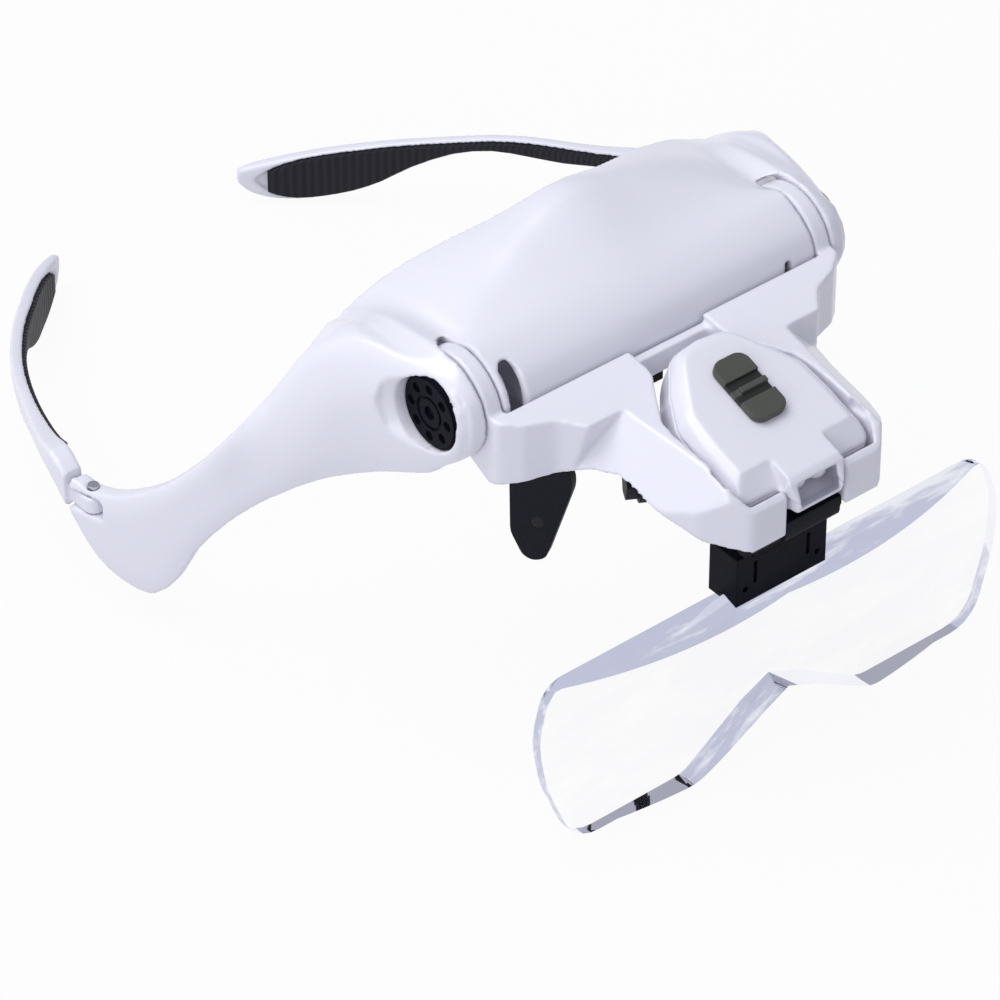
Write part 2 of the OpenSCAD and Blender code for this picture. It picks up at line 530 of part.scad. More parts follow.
// Slanted shoulder of the carrier's outer edges; sunk by a given depth for the hollow inside
module shoulder(sunk) {
    both() translate([22, lamp_y + 10, -3.2 - sunk]) rotate([12.1, 0, 0]) rotate([0, 47, 0])
        translate([-20, -20, 0]) cube([60, 36 + sunk, 30]);
}
module profile_x(points, half) { rotate([90, 0, 90]) translate([0, 0, -half]) linear_extrude(2 * half) polygon(points); }
module yoke_frame() color(shell_white) place() difference() {
    union() {
        difference() {
            intersection() {
                translate([0, 0, -30]) linear_extrude(40) polygon(yoke_plan);
                profile_x(yoke_profile, 60);
            }
            x_rod(-ear_in, ear_in, bar_r + slide_gap + 0.2);
        }
        both() x_rod(ear_in, ear_out, ear_r);
        // Stop lug that runs in the shell's slot
        mirror([1, 0, 0]) intersection() {
            translate([stop_x, -bar_r - 2, -4]) cube([stop_t, 4, 4]);
            difference() { x_rod(0, 60, bar_r + 2); x_rod(0, 60, bar_r - shell_wall + 0.6); }
        }
    }
    intersection() {
        translate([0, 0, -40]) linear_extrude(60) polygon(well_plan);
        profile_x(well_floor, 60);
    }
    both() intersection() {
        translate([0, 0, -40]) linear_extrude(60) polygon(pocket_plan);
        profile_x(pocket_profile, 60);
        difference() {
            x_rod(-60, 60, 80);
            x_rod(-60, 60, bar_r + slide_gap + 0.2 + yoke_wall);
            shoulder(yoke_wall + 0.8);
        }
    }
    shoulder(0);
    // Gap in the floor for the lens mount's neck
    translate([-notch_half_w, -yoke_front - 2, -40]) cube([2 * notch_half_w, yoke_lip + 1.5, 60]);
    // Rear bar stands lower than the top faces, and keeps clear of the nose piece
    translate([-9.8, -20, 0.6]) cube([19.6, 20, 10]);
    translate([-9.8, -20, -40]) cube([19.6, 20, 35]);
    both() x_rod(ear_in - 1, ear_out + 1, bolt_r + fit_gap);
    translate([0, pin_y, pin_z]) x_rod(-lamp_half_w - 3, lamp_half_w + 3, lamp_pin_r + fit_gap);
    both() translate([lamp_half_w, lamp_y - 2.4, lamp_z + 1.8]) cube([1.6, 4.8, 12]);
    both() translate([lens_screw_x, -lens_screw_y, -30]) cylinder(h = 30, r = lens_screw_r + fit_gap);
    both() translate([lens_screw_x, -lens_screw_y, screw_seat]) cylinder(h = 3, r = screw_head_r + fit_gap);
}
module pivot_bolt(s) color(steel) place() side(s) {
    x_rod(rib_in - nut_t - 0.6, web_out, bolt_r);
    x_rod(web_out, web_out + bolt_head_h, bolt_head_r);
}
module pivot_nut(s) color(steel) place() side(s) difference() {
    translate([rib_in - nut_t, 0, 0]) rotate([0, 90, 0]) cylinder(h = nut_t, r = 4.4, $fn = 6);
    x_rod(0, 60, bolt_r + fit_gap);
}
dimple_r = 1.1;
dimple_ring = 5.7;
module pivot_cap(s) color(soft_black) place() side(s) difference() {
    union() {
        x_rod(web_out + 0.3, web_out + 0.3 + cap_h - 0.4, cap_r);
        x_rod(web_out + 1, web_out + 0.3 + cap_h, cap_r - 0.5);
    }
    x_rod(web_out, web_out + bolt_head_h, bolt_head_r + fit_gap);
    difference() {
        x_rod(web_out + cap_h - 0.1, 60, 3.9);
        x_rod(0, 60, 3.2);
    }
    x_rod(web_out + cap_h - 0.4, 60, 1.5);
    for (k = [0:7]) rotate([45 * k, 0, 0]) translate([0, dimple_ring, 0])
        x_rod(web_out + cap_h - 0.3, 60, dimple_r);
}
module friction_washer(s) color([0.75, 0.75, 0.72]) place() side(s) difference() {
    x_rod(ear_out, ear_out + washer_t, 7.5);
    x_rod(0, 60, bolt_r + fit_gap);
}

// Lamp, drawn about its hinge line: X across, Y to its rear, Z square to its top face
module lamp_place() { place() translate([0, lamp_y, lamp_z]) rotate([lamp_slope, 0, 0]) children(); }
function lamp_plan(inset) = rounded(whole([[0, lamp_back - 0.6 - inset, 0],
    [6.4, lamp_back - 1.4 - inset, 4], [12.2 - inset * 0.8, 23.8 - inset * 0.6, 6],
    [16.7 - inset, 16, 6], [lamp_half_w - inset, 8, 6], [lamp_half_w - inset, -5.5 + inset, 2.5],
    [6.8, -5.5 + inset, 0], [5.9 - inset / 2, -lamp_nose + inset, 0], [0, -lamp_nose + inset, 0]]));
// The cover's shoulders draw in from its rim to its top face
module cover_layer(inset, z) {
    translate([0, 0, z]) linear_extrude(0.05) intersection() {
        polygon(lamp_plan(inset));
        translate([-30, -5.5 + inset]) square([60, 60]);
    }
}
base_profile = [[-lamp_nose - 1, 0], [-lamp_nose - 1, -2.2], [-5.6, -4.6], [-4, -6], [5, -6.2],
    [7.2, -bay_drop], [28.8, -bay_drop], [lamp_back + 1, -4.5], [lamp_back + 1, 0]];
base_hollow = [[-lamp_nose - 1, 1], [-lamp_nose - 1, -1.2], [-5, -3.2], [-3.4, -4.6], [6, -4.8],
    [8, lamp_wall - bay_drop], [28, lamp_wall - bay_drop], [lamp_back, -3.6], [lamp_back, 1]];
cell_back = 18;
door_t = 1.2;
door_r = cell_r + 0.4;
led_hole_w = 10.4;
led_low = -1.6;
led_high = 3.2;
lamp_screw_x = 13.6;
lamp_screw_y = -1.8;
lamp_screw_r = 0.9;
module lamp_screw_spots() { both() translate([lamp_screw_x, lamp_screw_y, 0]) children(); }
module lamp_base() color(shell_white) lamp_place() difference() {
    union() {
        difference() {
            intersection() {
                translate([0, 0, -12]) linear_extrude(12) polygon(lamp_plan(0));
                profile_x(base_profile, 30);
            }
            intersection() {
                translate([0, 0, -12]) linear_extrude(13) polygon(lamp_plan(lamp_wall));
                profile_x(base_hollow, 30);
            }
        }
        lamp_screw_spots() translate([0, 0, -5.2]) cylinder(h = 5.2, r = 2.1);
        // Pin bosses, solid behind the side walls
        both() intersection() {
            translate([0, 0, -lamp_pin_drop]) x_rod(lamp_half_w - 2.6, lamp_half_w, lamp_pin_r + 1.4);
            translate([0, -5, -6]) cube([30, 10, 6]);
        }
        // Ledge that carries the circuit board
        both() translate([8.4, 5, -5.4]) cube([1.6, 3, 5.4 - board_drop]);
    }
    translate([0, cell_back, -bay_drop - 1]) cylinder(h = door_t + 1.2, r = door_r + 0.1);
    translate([-led_hole_w / 2, -lamp_nose - 1, led_low]) cube([led_hole_w, 4, 10]);
    translate([0, 0, -lamp_pin_drop]) x_rod(-30, 30, lamp_pin_r + fit_gap);
    lamp_screw_spots() translate([0, 0, -8]) cylinder(h = 9, r = lamp_screw_r + fit_gap);
    lamp_screw_spots() translate([0, 0, -8]) cylinder(h = 3.3, r = 1.8);
}
board_drop = 0.6;
slot_len = slider_travel + 4;
nose_profile = [[-lamp_nose, 0], [-lamp_nose + 3.2, lamp_top - 0.7], [-lamp_nose + 4.6, lamp_top],
    [12, lamp_top], [12, 0]];
cover_cheek = [[-7, 0.8], [-5.5, 0.8], [-0.6, lamp_top - 0.2], [-0.6, 8], [-7, 8]];
nose_plan = rounded(whole([[0, 12, 0], [9.4, 12, 2], [8.6, -4, 3], [5.9, -lamp_nose, 0],
    [0, -lamp_nose, 0]]));
module cover_hollow(inset, z = 0) {
    translate([0, 0, z]) linear_extrude(0.05) intersection() {
        polygon(lamp_plan(inset));
        translate([-30, 0]) square([60, 60]);
    }
}
module lamp_cover() color(shell_white) lamp_place() difference() {
    union() {
        difference() {
            union() {
                hull() {
                    cover_layer(0, 0);
                    cover_layer(0.2, 0.8);
                    cover_layer(1.2, lamp_top - 1.4);
                    cover_layer(3, lamp_top - 0.05);
                }
                intersection() {
                    linear_extrude(lamp_top) polygon(nose_plan);
                    profile_x(nose_profile, 30);
                }
            }
            hull() {
                translate([0, 0, -1]) cover_hollow(1.4);
                cover_hollow(2.8, lamp_top - lamp_wall - 0.05);
            }
            translate([-5, -lamp_nose + 1.4, -1]) cube([10, lamp_nose, lamp_top - lamp_wall + 1.1]);
            translate([-5.6, led_tip, -1]) cube([11.2, led_len + 1, lamp_top - lamp_wall + 1.1]);
        }
        lamp_screw_spots() cylinder(h = 1.6, r = 2.1);
    }
    both() translate([12.5, 0, 0]) profile_x(cover_cheek, 5.6);
    translate([-1.5, slider_back - slider_travel - 2, 0]) cube([3, slot_len, 10]);
    translate([-led_hole_w / 2, -lamp_nose - 1, -5]) cube([led_hole_w, 6, led_high + 5]);
    lamp_screw_spots() translate([0, 0, -1]) cylinder(h = 2.2, r = lamp_screw_r + fit_gap);
}
module lamp_screws() color(steel) lamp_place() lamp_screw_spots() difference() {
    union() {
        translate([0, 0, -4.7]) cylinder(h = 5.8, r = lamp_screw_r);
        translate([0, 0, -5.7]) cylinder(h = 1, r = 1.7);
    }
    translate([-0.25, -2, -7]) cube([0.5, 4, 1.8]);
}
lamp_pin_in = lamp_half_w - 2.4;
lamp_pin_out = lamp_half_w + 2.7;
module lamp_pin(s) color(steel) lamp_place() side(s) translate([0, 0, -lamp_pin_drop])
    x_rod(lamp_pin_in, lamp_pin_out, lamp_pin_r);

led_mid = 0.3;
led_tip = -lamp_nose + 3.5;
led_len = 7.6;
module led(s) color([0.85, 0.87, 0.95]) lamp_place() translate([s * led_gap / 2, led_tip + led_len, led_mid])
    rotate([90, 0, 0]) {
        rotate_extrude() polygon(concat([[0, 0], [led_r + 0.15, 0], [led_r + 0.15, 0.8], [led_r, 0.8],
            [led_r, led_len - led_r]], [for (a = [10:10:80]) [led_r * cos(a), led_len - led_r + led_r * sin(a)]],
            [[0, led_len]]));
        for (t = [-1.27, 1.27]) translate([t, -1.35, -2.6]) cylinder(h = 2.6, r = 0.25, $fn = 16);
    }
window_profile = [[-lamp_nose + 0.3, led_low + 0.15], [-lamp_nose + 3.4, led_high - 0.1],
    [-lamp_nose + 4.5, led_high - 0.1], [-lamp_nose + 1.4, led_low + 0.15]];
module led_window() color([0.6, 0.6, 0.66]) lamp_place()
    profile_x(window_profile, led_hole_w / 2 - 0.1);
board_top = -board_drop + board_t;
module circuit_board() color([0.1, 0.4, 0.2]) lamp_place() difference() {
    intersection() {
        translate([-10, 1, -board_drop]) cube([20, 26, board_t]);
        translate([0, 0, -board_drop]) linear_extrude(board_t) polygon(lamp_plan(lamp_wall + 0.8));
    }
    lamp_screw_spots() translate([0, 0, -5]) cylinder(h = 10, r = 2.5);
}
switch_w = 5;
switch_len = 9;
module switch_body() color([0.25, 0.25, 0.27]) lamp_place() difference() {
    translate([-switch_w / 2, slider_back - slider_travel / 2 - switch_len / 2, board_top])
        cube([switch_w, switch_len, lamp_top - lamp_wall - board_top - 0.1]);
    translate([-1.4, slider_back - slider_travel - 1.9, board_top + 0.8]) cube([2.8, slot_len - 0.2, 10]);
}
module switch_slider() color([0.33, 0.34, 0.32]) lamp_place() translate([0, slider_back, 0]) difference() {
    union() {
        translate([0, 0, lamp_top + slide_gap / 2]) linear_extrude(slider_h) polygon(rounded([
            [-slider_w / 2, -slider_len / 2, 2.6], [slider_w / 2, -slider_len / 2, 2.6],
            [slider_w / 2, slider_len / 2, 2.6], [-slider_w / 2, slider_len / 2, 2.6]]));
        translate([-1.2, -1.6, board_top + 1.2]) cube([2.4, 3.2, lamp_top - board_top - 0.8]);
    }
    difference() {
        translate([-slider_w, -2.6, lamp_top + slide_gap / 2 + slider_h - 0.8]) cube([2 * slider_w, 5.2, 3]);
        translate([-slider_w / 2 + 1.8, -0.7, 0]) cube([slider_w, 1.4, lamp_top + slide_gap / 2 + slider_h]);
    }
}
module series_resistor() color([0.75, 0.7, 0.55]) lamp_place() translate([6, 9, board_top + 0.9])
    rotate([90, 0, 0]) {
        cylinder(h = 4, r = 0.9, center = true);
        cylinder(h = 6.4, r = 0.25, center = true, $fn = 16);
    }
cell_top = -board_drop - 0.4;
contact_t = 0.3;
module coin_cells() color(steel) lamp_place() for (k = [0, 1])
    translate([0, cell_back, cell_top - (k + 1) * cell_h - k * 0.02]) union() {
        cylinder(h = cell_h, r = cell_r - 0.6);
        translate([0, 0, 0.4]) cylinder(h = cell_h - 0.4, r = cell_r);
    }
module contact_plus() color([0.8, 0.68, 0.4]) lamp_place() {
    translate([-2, 8, cell_top + 0.05]) cube([4, 18, contact_t]);
}
module contact_minus() color([0.8, 0.68, 0.4]) lamp_place()
    translate([-2, cell_back - 9, cell_top - 2 * cell_h - 0.05 - contact_t]) cube([4, 16, contact_t]);
module battery_door() color(shell_white) lamp_place() translate([0, cell_back, -bay_drop]) difference() {
    cylinder(h = door_t, r = door_r);
    translate([-7, -0.9, -1]) cube([14, 1.8, 1.6]);
}

// Lens mount under the carrier's front, and the bracket that flips on its pin
lens_screw_x = 10;
lens_screw_y = lamp_ahead + 1;
lens_screw_r = 0.9;
screw_head_r = 1.6;
screw_seat = -14.4;
mount_neck_half = notch_half_w - 0.4;
mount_top = -14.9;
mount_half = bracket_w / 2;
mount_front = hinge_y + knuckle_r + 0.2;
neck_front = yoke_front - 1;
mount_seat = [[-yoke_front, -17.1], [lamp_y - 1.7, -15.5], [lamp_y + 3.5, -13.3]];
module hinge_place() { place() translate([0, -hinge_y, -hinge_z]) children(); }
module lens_mount() color(soft_black) place() difference() {
    union() {
        intersection() {
            translate([-mount_neck_half, -neck_front, -19.6])
                cube([2 * mount_neck_half, 9, 19.6 + mount_top]);
            profile_x([[-neck_front, -18.6], [-neck_front, mount_top], [lamp_y + 10, mount_top],
                [lamp_y + 10, -30], [-neck_front + 3.6, -30]], 20);
        }
        difference() {
            translate([-mount_half, -mount_front, -hinge_z]) cube([2 * mount_half, 5.6, 12]);
            profile_x(concat(mount_seat, [[lamp_y + 3.5, 0], [-yoke_front, 0]]), 20);
        }
        both() translate([0, -hinge_y, -hinge_z]) x_rod(9, mount_half, knuckle_r);
    }
    translate([-8.8, -hinge_y - knuckle_r - 0.5, -40]) cube([17.6, 20, 40 - hinge_z + knuckle_r + 0.5]);
    translate([0, -hinge_y, -hinge_z]) x_rod(-30, 30, hinge_pin_r + fit_gap);
    both() translate([lens_screw_x, -lens_screw_y, -18.6]) cylinder(h = 10, r = lens_screw_r + fit_gap);
}
module lens_mount_screws() color(steel) place() both() translate([lens_screw_x, -lens_screw_y, 0])
    difference() {
        union() {
            translate([0, 0, -18.5]) cylinder(h = 18.6 + screw_seat, r = lens_screw_r);
            translate([0, 0, screw_seat]) cylinder(h = 0.6, r = screw_head_r);
        }
        translate([-0.2, -2, screw_seat + 0.3]) cube([0.4, 4, 1]);
    }
module lens_hinge_pin() color(steel) hinge_place() x_rod(0.4 - mount_half, mount_half - 0.4, hinge_pin_r);

bracket_front = 1;
bracket_top = 5;
lens_grip = 1.6;
tab_half_w = 9.5;
tab_h = 8;
tab_t = 3;
lens_seat_y = bracket_front + 5;
// Side view of what lies under the lens's top face and ahead of its back face, widened by a gap
function under_top(gap) = [[gap, gap], [-20, gap - 20 * tan(lens_top_slope + lens_lean)],
    [-20, -60], [gap, -60]];
module lens_place() {
    place() translate([0, -hinge_y + lens_seat_y, lens_top]) rotate([-lens_lean, 0, 0])
        translate([0, 0, -lens_h]) children();
}
module lens_bracket() color(soft_black) hinge_place() difference() {
    union() {
        translate([-bracket_w / 2, bracket_front, -bracket_drop - lens_grip])
            cube([bracket_w, bracket_d, bracket_drop + lens_grip - bracket_top]);
        x_rod(-8.6, 8.6, knuckle_r);
        translate([-8.6, 0, -bracket_top - 0.2]) cube([17.2, knuckle_r, bracket_top]);
        translate([-8.6, bracket_front, -bracket_top - 0.2]) cube([17.2, 4, 2.4]);
    }
    // Seat on the lens's top face, and the pocket for its tab
    translate([0, lens_seat_y, -bracket_drop]) rotate([-lens_lean, 0, 0])
        profile_x(under_top(slide_gap / 2), bracket_w);
    translate([-tab_half_w - 0.2, lens_seat_y - tab_t - 0.3, -bracket_drop - lens_grip - 1])
        cube([2 * tab_half_w + 0.4, tab_t + 1.6, lens_grip + 1.2 + tab_h]);
    // Slits round the spring latch, and the peg hole
    translate([-6, -5, -bracket_top - 1.4]) cube([12, 20, 1]);
    both() translate([6.6, -5, -13]) cube([0.9, 20, 5.6]);
    both() translate([9.6, -5, -13.6]) rotate([-90, 0, 0]) cylinder(h = 30, r = 0.7);
    x_rod(-30, 30, hinge_pin_r + fit_gap);
}
lens_plan = rounded(whole([[0, lens_h, 0], [lens_half_w - 3.4, lens_h, 6.5],
    [lens_half_w + 0.5, lens_h - 11.8, 16], [lens_half_w - 0.9, lens_h * 0.42, 24],
    [lens_half_w - 7.2, 0, 9],
    [24, 0, 9], [7.5, nose_notch_h - 3.2, 6], [0, nose_notch_h, 0]]));
crown_h = lens_h - 10.3;
module lens() color([0.85, 0.9, 0.98, 0.4]) lens_place() union() {
    intersection() {
        union() {
            rotate([90, 0, 0]) linear_extrude(lens_t) polygon(lens_plan);
            both() intersection() {
                rotate([90, 0, 0]) linear_extrude(lens_crown + 1) polygon(lens_plan);
                translate([0, -20, -10]) cube([80, 20, 80]);
                translate([lobe_x, lobe_ball - lens_crown, crown_h]) sphere(r = lobe_ball, $fn = 144);
            }
        }
        translate([0, 0, lens_h]) profile_x(under_top(0), lens_half_w + 5);
    }
    translate([0, 0, lens_h]) rotate([lens_lean, 0, 0])
        translate([-tab_half_w, -tab_t, -2]) cube([2 * tab_half_w, tab_t, tab_h + 2]);
}

// Temple legs: outer face's path from the fork to the tip, with its foot height and its own height
leg_path = [[arm_end_x - 0.5, arm_end_y + 0.5], [85.4, 86], [83, 93], [79.4, 101], [75.9, 109], [72.1, 117],
    [67.7, 125], [62.4, 133], [56.3, 141], [51.6, 146.4], [47, 151.3], [42.4, 156.2], [38, 160.4],
    [34, leg_rear - 4.8], [30.6, leg_rear - 2.4], [27.9, leg_rear - 0.8], [26, leg_rear]];
leg_foot = [-56.8, -52.2, -52.6, -54.6, -56.8, -57.8, -58.6, -61.4, -66.8, -71.6, -74.8, -76.9, -77.9,
    -77.9, -76.9, -75.4, -73.4];
leg_height = [8.4, 6.4, 4.8, 4.5, 5, 4.6, 3.6, 4, 7.1, 10.4, 12.1, 12.5, 11.9, 10.6, 8.6, 6.3, 3.5];
leg_more = [1.8, 2.2, 1.4, 0.6, 0.2, 0, 0, 0, 0, 0.1, 0.2, 0.2, 0.2, 0.1, 0, -0.4, -1];
leg_steps = 2;
leg_soft = 0.5;
strip_lip = 0.7;
leg_points = finer(leg_path, leg_steps);
leg_feet = finer(leg_foot, leg_steps);
leg_heights = finer(leg_height, leg_steps);
leg_thick = leg_t * [for (v = leg_more) 1] + leg_more;
leg_thicks = finer(leg_thick, leg_steps);
strip_first = 2;
strip_last = len(leg_points) - 5;
function strip_half(k) = (leg_heights[k] / 2 - strip_lip)
    * sqrt(1 - pow(max(0, k - strip_last + 5) / 5.4, 2));
function leg_inward(k) = let (a = leg_points[max(0, k - 1)], b = leg_points[min(len(leg_points) - 1, k + 1)],
    d = unit(b - a)) [-d.y, d.x];
function leg_spot(k, depth, z) = let (p = leg_points[k] + leg_inward(k) * depth) [p.x, p.y, z];
function leg_section(k, top, foot, thick, high, low, deep) = [
    leg_spot(k, 0, foot + leg_soft), leg_spot(k, leg_soft, foot), leg_spot(k, thick - leg_soft, foot),
    leg_spot(k, thick, foot + leg_soft), leg_spot(k, thick, low), leg_spot(k, thick - deep, low),
    leg_spot(k, thick - deep, high), leg_spot(k, thick, high), leg_spot(k, thick, top - leg_soft),
    leg_spot(k, thick - leg_soft, top), leg_spot(k, leg_soft, top), leg_spot(k, 0, top - leg_soft)];
leg_sections = [for (k = [0:len(leg_points) - 1]) let (foot = leg_feet[k], top = foot + leg_heights[k],
    mid = (foot + top) / 2, open = k >= strip_first && k <= strip_last,
    h = open ? strip_half(k) : 0.5)
    leg_section(k, top, foot, leg_thicks[k], mid + h, mid - h, open ? groove_d : 0.02)];
tongue_r = 2.6;
module temple_leg(s) color(shell_white) place() difference() {
    union() {
        side(s) loft(leg_sections);
        fork_place(s) {
            translate([0, 0, -tongue_h / 2]) cylinder(h = tongue_h, r = tongue_r);
            translate([-tongue_r, 0, -tongue_h / 2]) cube([2 * tongue_r, arm_end_y - fork_pin_y + 2, tongue_h]);
        }
    }
    fork_place(s) translate([0, 0, -20]) cylinder(h = 40, r = leg_pin_r + fit_gap);
}
module temple_pin(s) color(steel) place() fork_place(s) translate([0, 0, -4.2])
    cylinder(h = 8.4, r = leg_pin_r);
insert_gap = 0.06;
insert_sections = [for (k = [strip_first + 1:strip_last - 1]) let (mid = leg_feet[k] + leg_heights[k] / 2,
    h = strip_half(k) - insert_gap, a = leg_thicks[k] - groove_d + insert_gap,
    b = leg_thicks[k] + insert_proud)
    [leg_spot(k, a, mid - h), leg_spot(k, b - 0.4, mid - h), leg_spot(k, b, mid - h + 0.4),
     leg_spot(k, b, mid + h - 0.4), leg_spot(k, b - 0.4, mid + h), leg_spot(k, a, mid + h)]];
module temple_insert(s) color(soft_black) place() side(s) loft(insert_sections);

visor_shell();
inner_liner();
liner_screws();
nose_bridge();
nose_bridge_screw();
nose_pad(1);  // nose_pad_left
nose_pad(-1);  // nose_pad_right
nose_pad_pin(1);  // nose_pad_pin_left
nose_pad_pin(-1);  // nose_pad_pin_right
yoke_frame();
pivot_bolt(1);  // pivot_bolt_left
pivot_bolt(-1);  // pivot_bolt_right
pivot_nut(1);  // pivot_nut_left
pivot_nut(-1);  // pivot_nut_right
pivot_cap(1);  // pivot_cap_left
pivot_cap(-1);  // pivot_cap_right
friction_washer(1);  // friction_washer_left
friction_washer(-1);  // friction_washer_right
lamp_pin(1);  // lamp_pin_left
lamp_pin(-1);  // lamp_pin_right
lamp_base();
lamp_cover();
lamp_screws();
led(1);  // led_left
led(-1);  // led_right
led_window();
circuit_board();
switch_body();
switch_slider();
series_resistor();
coin_cells();
contact_plus();
contact_minus();
battery_door();
lens_mount();
lens_mount_screws();
lens_hinge_pin();
lens_bracket();
lens();
temple_leg(1);  // temple_leg_left
temple_leg(-1);  // temple_leg_right
temple_insert(1);  // temple_insert_left
temple_insert(-1);  // temple_insert_right
temple_pin(1);  // temple_pin_left
temple_pin(-1);  // temple_pin_right
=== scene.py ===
import json
import math

import bpy
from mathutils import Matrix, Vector
from mathutils.bvhtree import BVHTree


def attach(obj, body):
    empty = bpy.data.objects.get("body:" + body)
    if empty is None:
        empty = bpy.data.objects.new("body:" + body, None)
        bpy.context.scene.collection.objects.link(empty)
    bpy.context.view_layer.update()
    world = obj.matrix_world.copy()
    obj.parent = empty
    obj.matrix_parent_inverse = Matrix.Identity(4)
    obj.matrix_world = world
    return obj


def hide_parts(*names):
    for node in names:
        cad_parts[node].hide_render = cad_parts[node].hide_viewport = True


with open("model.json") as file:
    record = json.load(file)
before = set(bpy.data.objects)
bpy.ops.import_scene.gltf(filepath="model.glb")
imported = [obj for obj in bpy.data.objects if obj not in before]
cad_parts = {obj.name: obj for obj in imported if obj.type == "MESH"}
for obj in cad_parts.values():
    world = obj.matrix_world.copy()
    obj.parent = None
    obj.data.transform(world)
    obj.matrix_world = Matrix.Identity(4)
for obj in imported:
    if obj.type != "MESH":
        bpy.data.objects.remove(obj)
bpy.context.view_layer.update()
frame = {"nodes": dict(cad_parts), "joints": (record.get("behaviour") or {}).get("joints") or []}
nodes = frame["nodes"]
tilt_axis = Vector(next(j for j in frame["joints"] if j["name"] == "yoke_tilt")["pos_m"])
MM = 0.001

# Table and studio: a plain white table top, a wide soft box overhead and a weaker one on the
# wearer's right. The table shows white to the camera and in the glass, and keeps a soft shadow.


class Wire:
    """One output of a node. Sums, products and comparisons of wires add Math nodes."""

    def __init__(self, finish, socket):
        self.finish = finish
        self.socket = socket

    def maths(self, operation, a, b):
        return self.finish.node("ShaderNodeMath", {"operation": operation}, {0: a, 1: b})

    def __add__(self, other):
        return self.maths("ADD", self, other)

    def __radd__(self, other):
        return self.maths("ADD", other, self)

    def __sub__(self, other):
        return self.maths("SUBTRACT", self, other)

    def __rsub__(self, other):
        return self.maths("SUBTRACT", other, self)

    def __mul__(self, other):
        return self.maths("MULTIPLY", self, other)

    def __rmul__(self, other):
        return self.maths("MULTIPLY", other, self)

    def __gt__(self, other):
        return self.maths("GREATER_THAN", self, other)

    def __lt__(self, other):
        return self.maths("LESS_THAN", self, other)

    def most(self, other):
        return self.maths("MAXIMUM", self, other)


class Finish:
    """A material and the nodes of its surface."""

    def __init__(self, name):
        self.material = bpy.data.materials.new(name)
        self.material.use_nodes = True
        self.tree = self.material.node_tree
        self.tree.nodes.clear()

    def node(self, kind, settings=None, sockets=None, output=0):
        """Any node: its settings, its sockets as values or wires, and the output to go on from."""
        made = self.tree.nodes.new(kind)
        for key, value in (settings or {}).items():
            if key == "stops":
                for place, grey in value[1:-1]:
                    made.color_ramp.elements.new(place)
                for element, (place, colour) in zip(made.color_ramp.elements, value):
                    element.position = place
                    element.color = (*colour, 1) if hasattr(colour, "__len__") else (colour, colour, colour, 1)
            else:
                setattr(made, key, value)
        for key, value in (sockets or {}).items():
            if isinstance(value, Wire):
                self.tree.links.new(value.socket, made.inputs[key])
            else:
                made.inputs[key].default_value = value
        return Wire(self, made.outputs[output])

    def place(self, scale=(1, 1, 1), turn=(0, 0, 0)):
        """Object coordinates, stretched and turned."""
        at = self.node("ShaderNodeTexCoord", output="Object")
        return self.node("ShaderNodeMapping", {}, {"Vector": at, "Rotation": turn, "Scale": scale})

    def grain(self, scale, detail=3, rough=0.5, at=None):
        """Soft noise for grain, haze and patches."""
        return self.node("ShaderNodeTexNoise", {}, {
            "Vector": at or self.place(), "Scale": scale, "Detail": detail, "Roughness": rough})

    def blend(self, share, a, b):
        """A colour between two, by a share that may vary."""
        mix = self.tree.nodes.new("ShaderNodeMix")
        mix.data_type = "RGBA"
        for socket, value in zip((mix.inputs[0], mix.inputs[6], mix.inputs[7]), (share, a, b)):
            if isinstance(value, Wire):
                self.tree.links.new(value.socket, socket)
            else:
                socket.default_value = (*value, 1) if hasattr(value, "__len__") else value
        return Wire(self, mix.outputs[2])

    def relief(self, height, depth, edge=0.0):
        """Bump of a height, in metres, over edges that a small radius softens."""
        under = {"Normal": self.node("ShaderNodeBevel", {"samples": 4}, {"Radius": edge})} if edge else {}
        return self.node("ShaderNodeBump", {}, {"Height": height, "Strength": 1.0, "Distance": depth, **under})

    def show(self, shader):
        """Join the shader to the surface and hand the material over."""
        out = self.tree.nodes.new("ShaderNodeOutputMaterial")
        self.tree.links.new(shader.socket, out.inputs["Surface"])
        return self.material


def table_finish():
    """White laminate with faint flecks, seen nearly white and lit softly."""
    f = Finish("table_white")
    rays = f.tree.nodes.new("ShaderNodeLightPath")
    seen = Wire(f, rays.outputs["Is Camera Ray"]).most(Wire(f, rays.outputs["Is Glossy Ray"]))
    seen = seen.most(Wire(f, rays.outputs["Is Transmission Ray"]))
    fleck = f.grain(140, 4)
    lit = f.node("ShaderNodeBsdfDiffuse", {}, {"Color": f.blend(fleck, (0.66, 0.66, 0.70), (0.7, 0.7, 0.73))})
    glow = f.node("ShaderNodeEmission", {}, {"Color": (1, 1, 1, 1), "Strength": 1.0})
    return f.show(f.node("ShaderNodeMixShader", {}, {0: seen * 0.94, 1: lit, 2: glow}))


bpy.ops.object.select_all(action="DESELECT")
bpy.ops.mesh.primitive_circle_add(vertices=96, radius=6, fill_type="NGON", location=(0, 0, 0))
table = bpy.context.object
table.name = "table_top"
table.data.materials.append(table_finish())

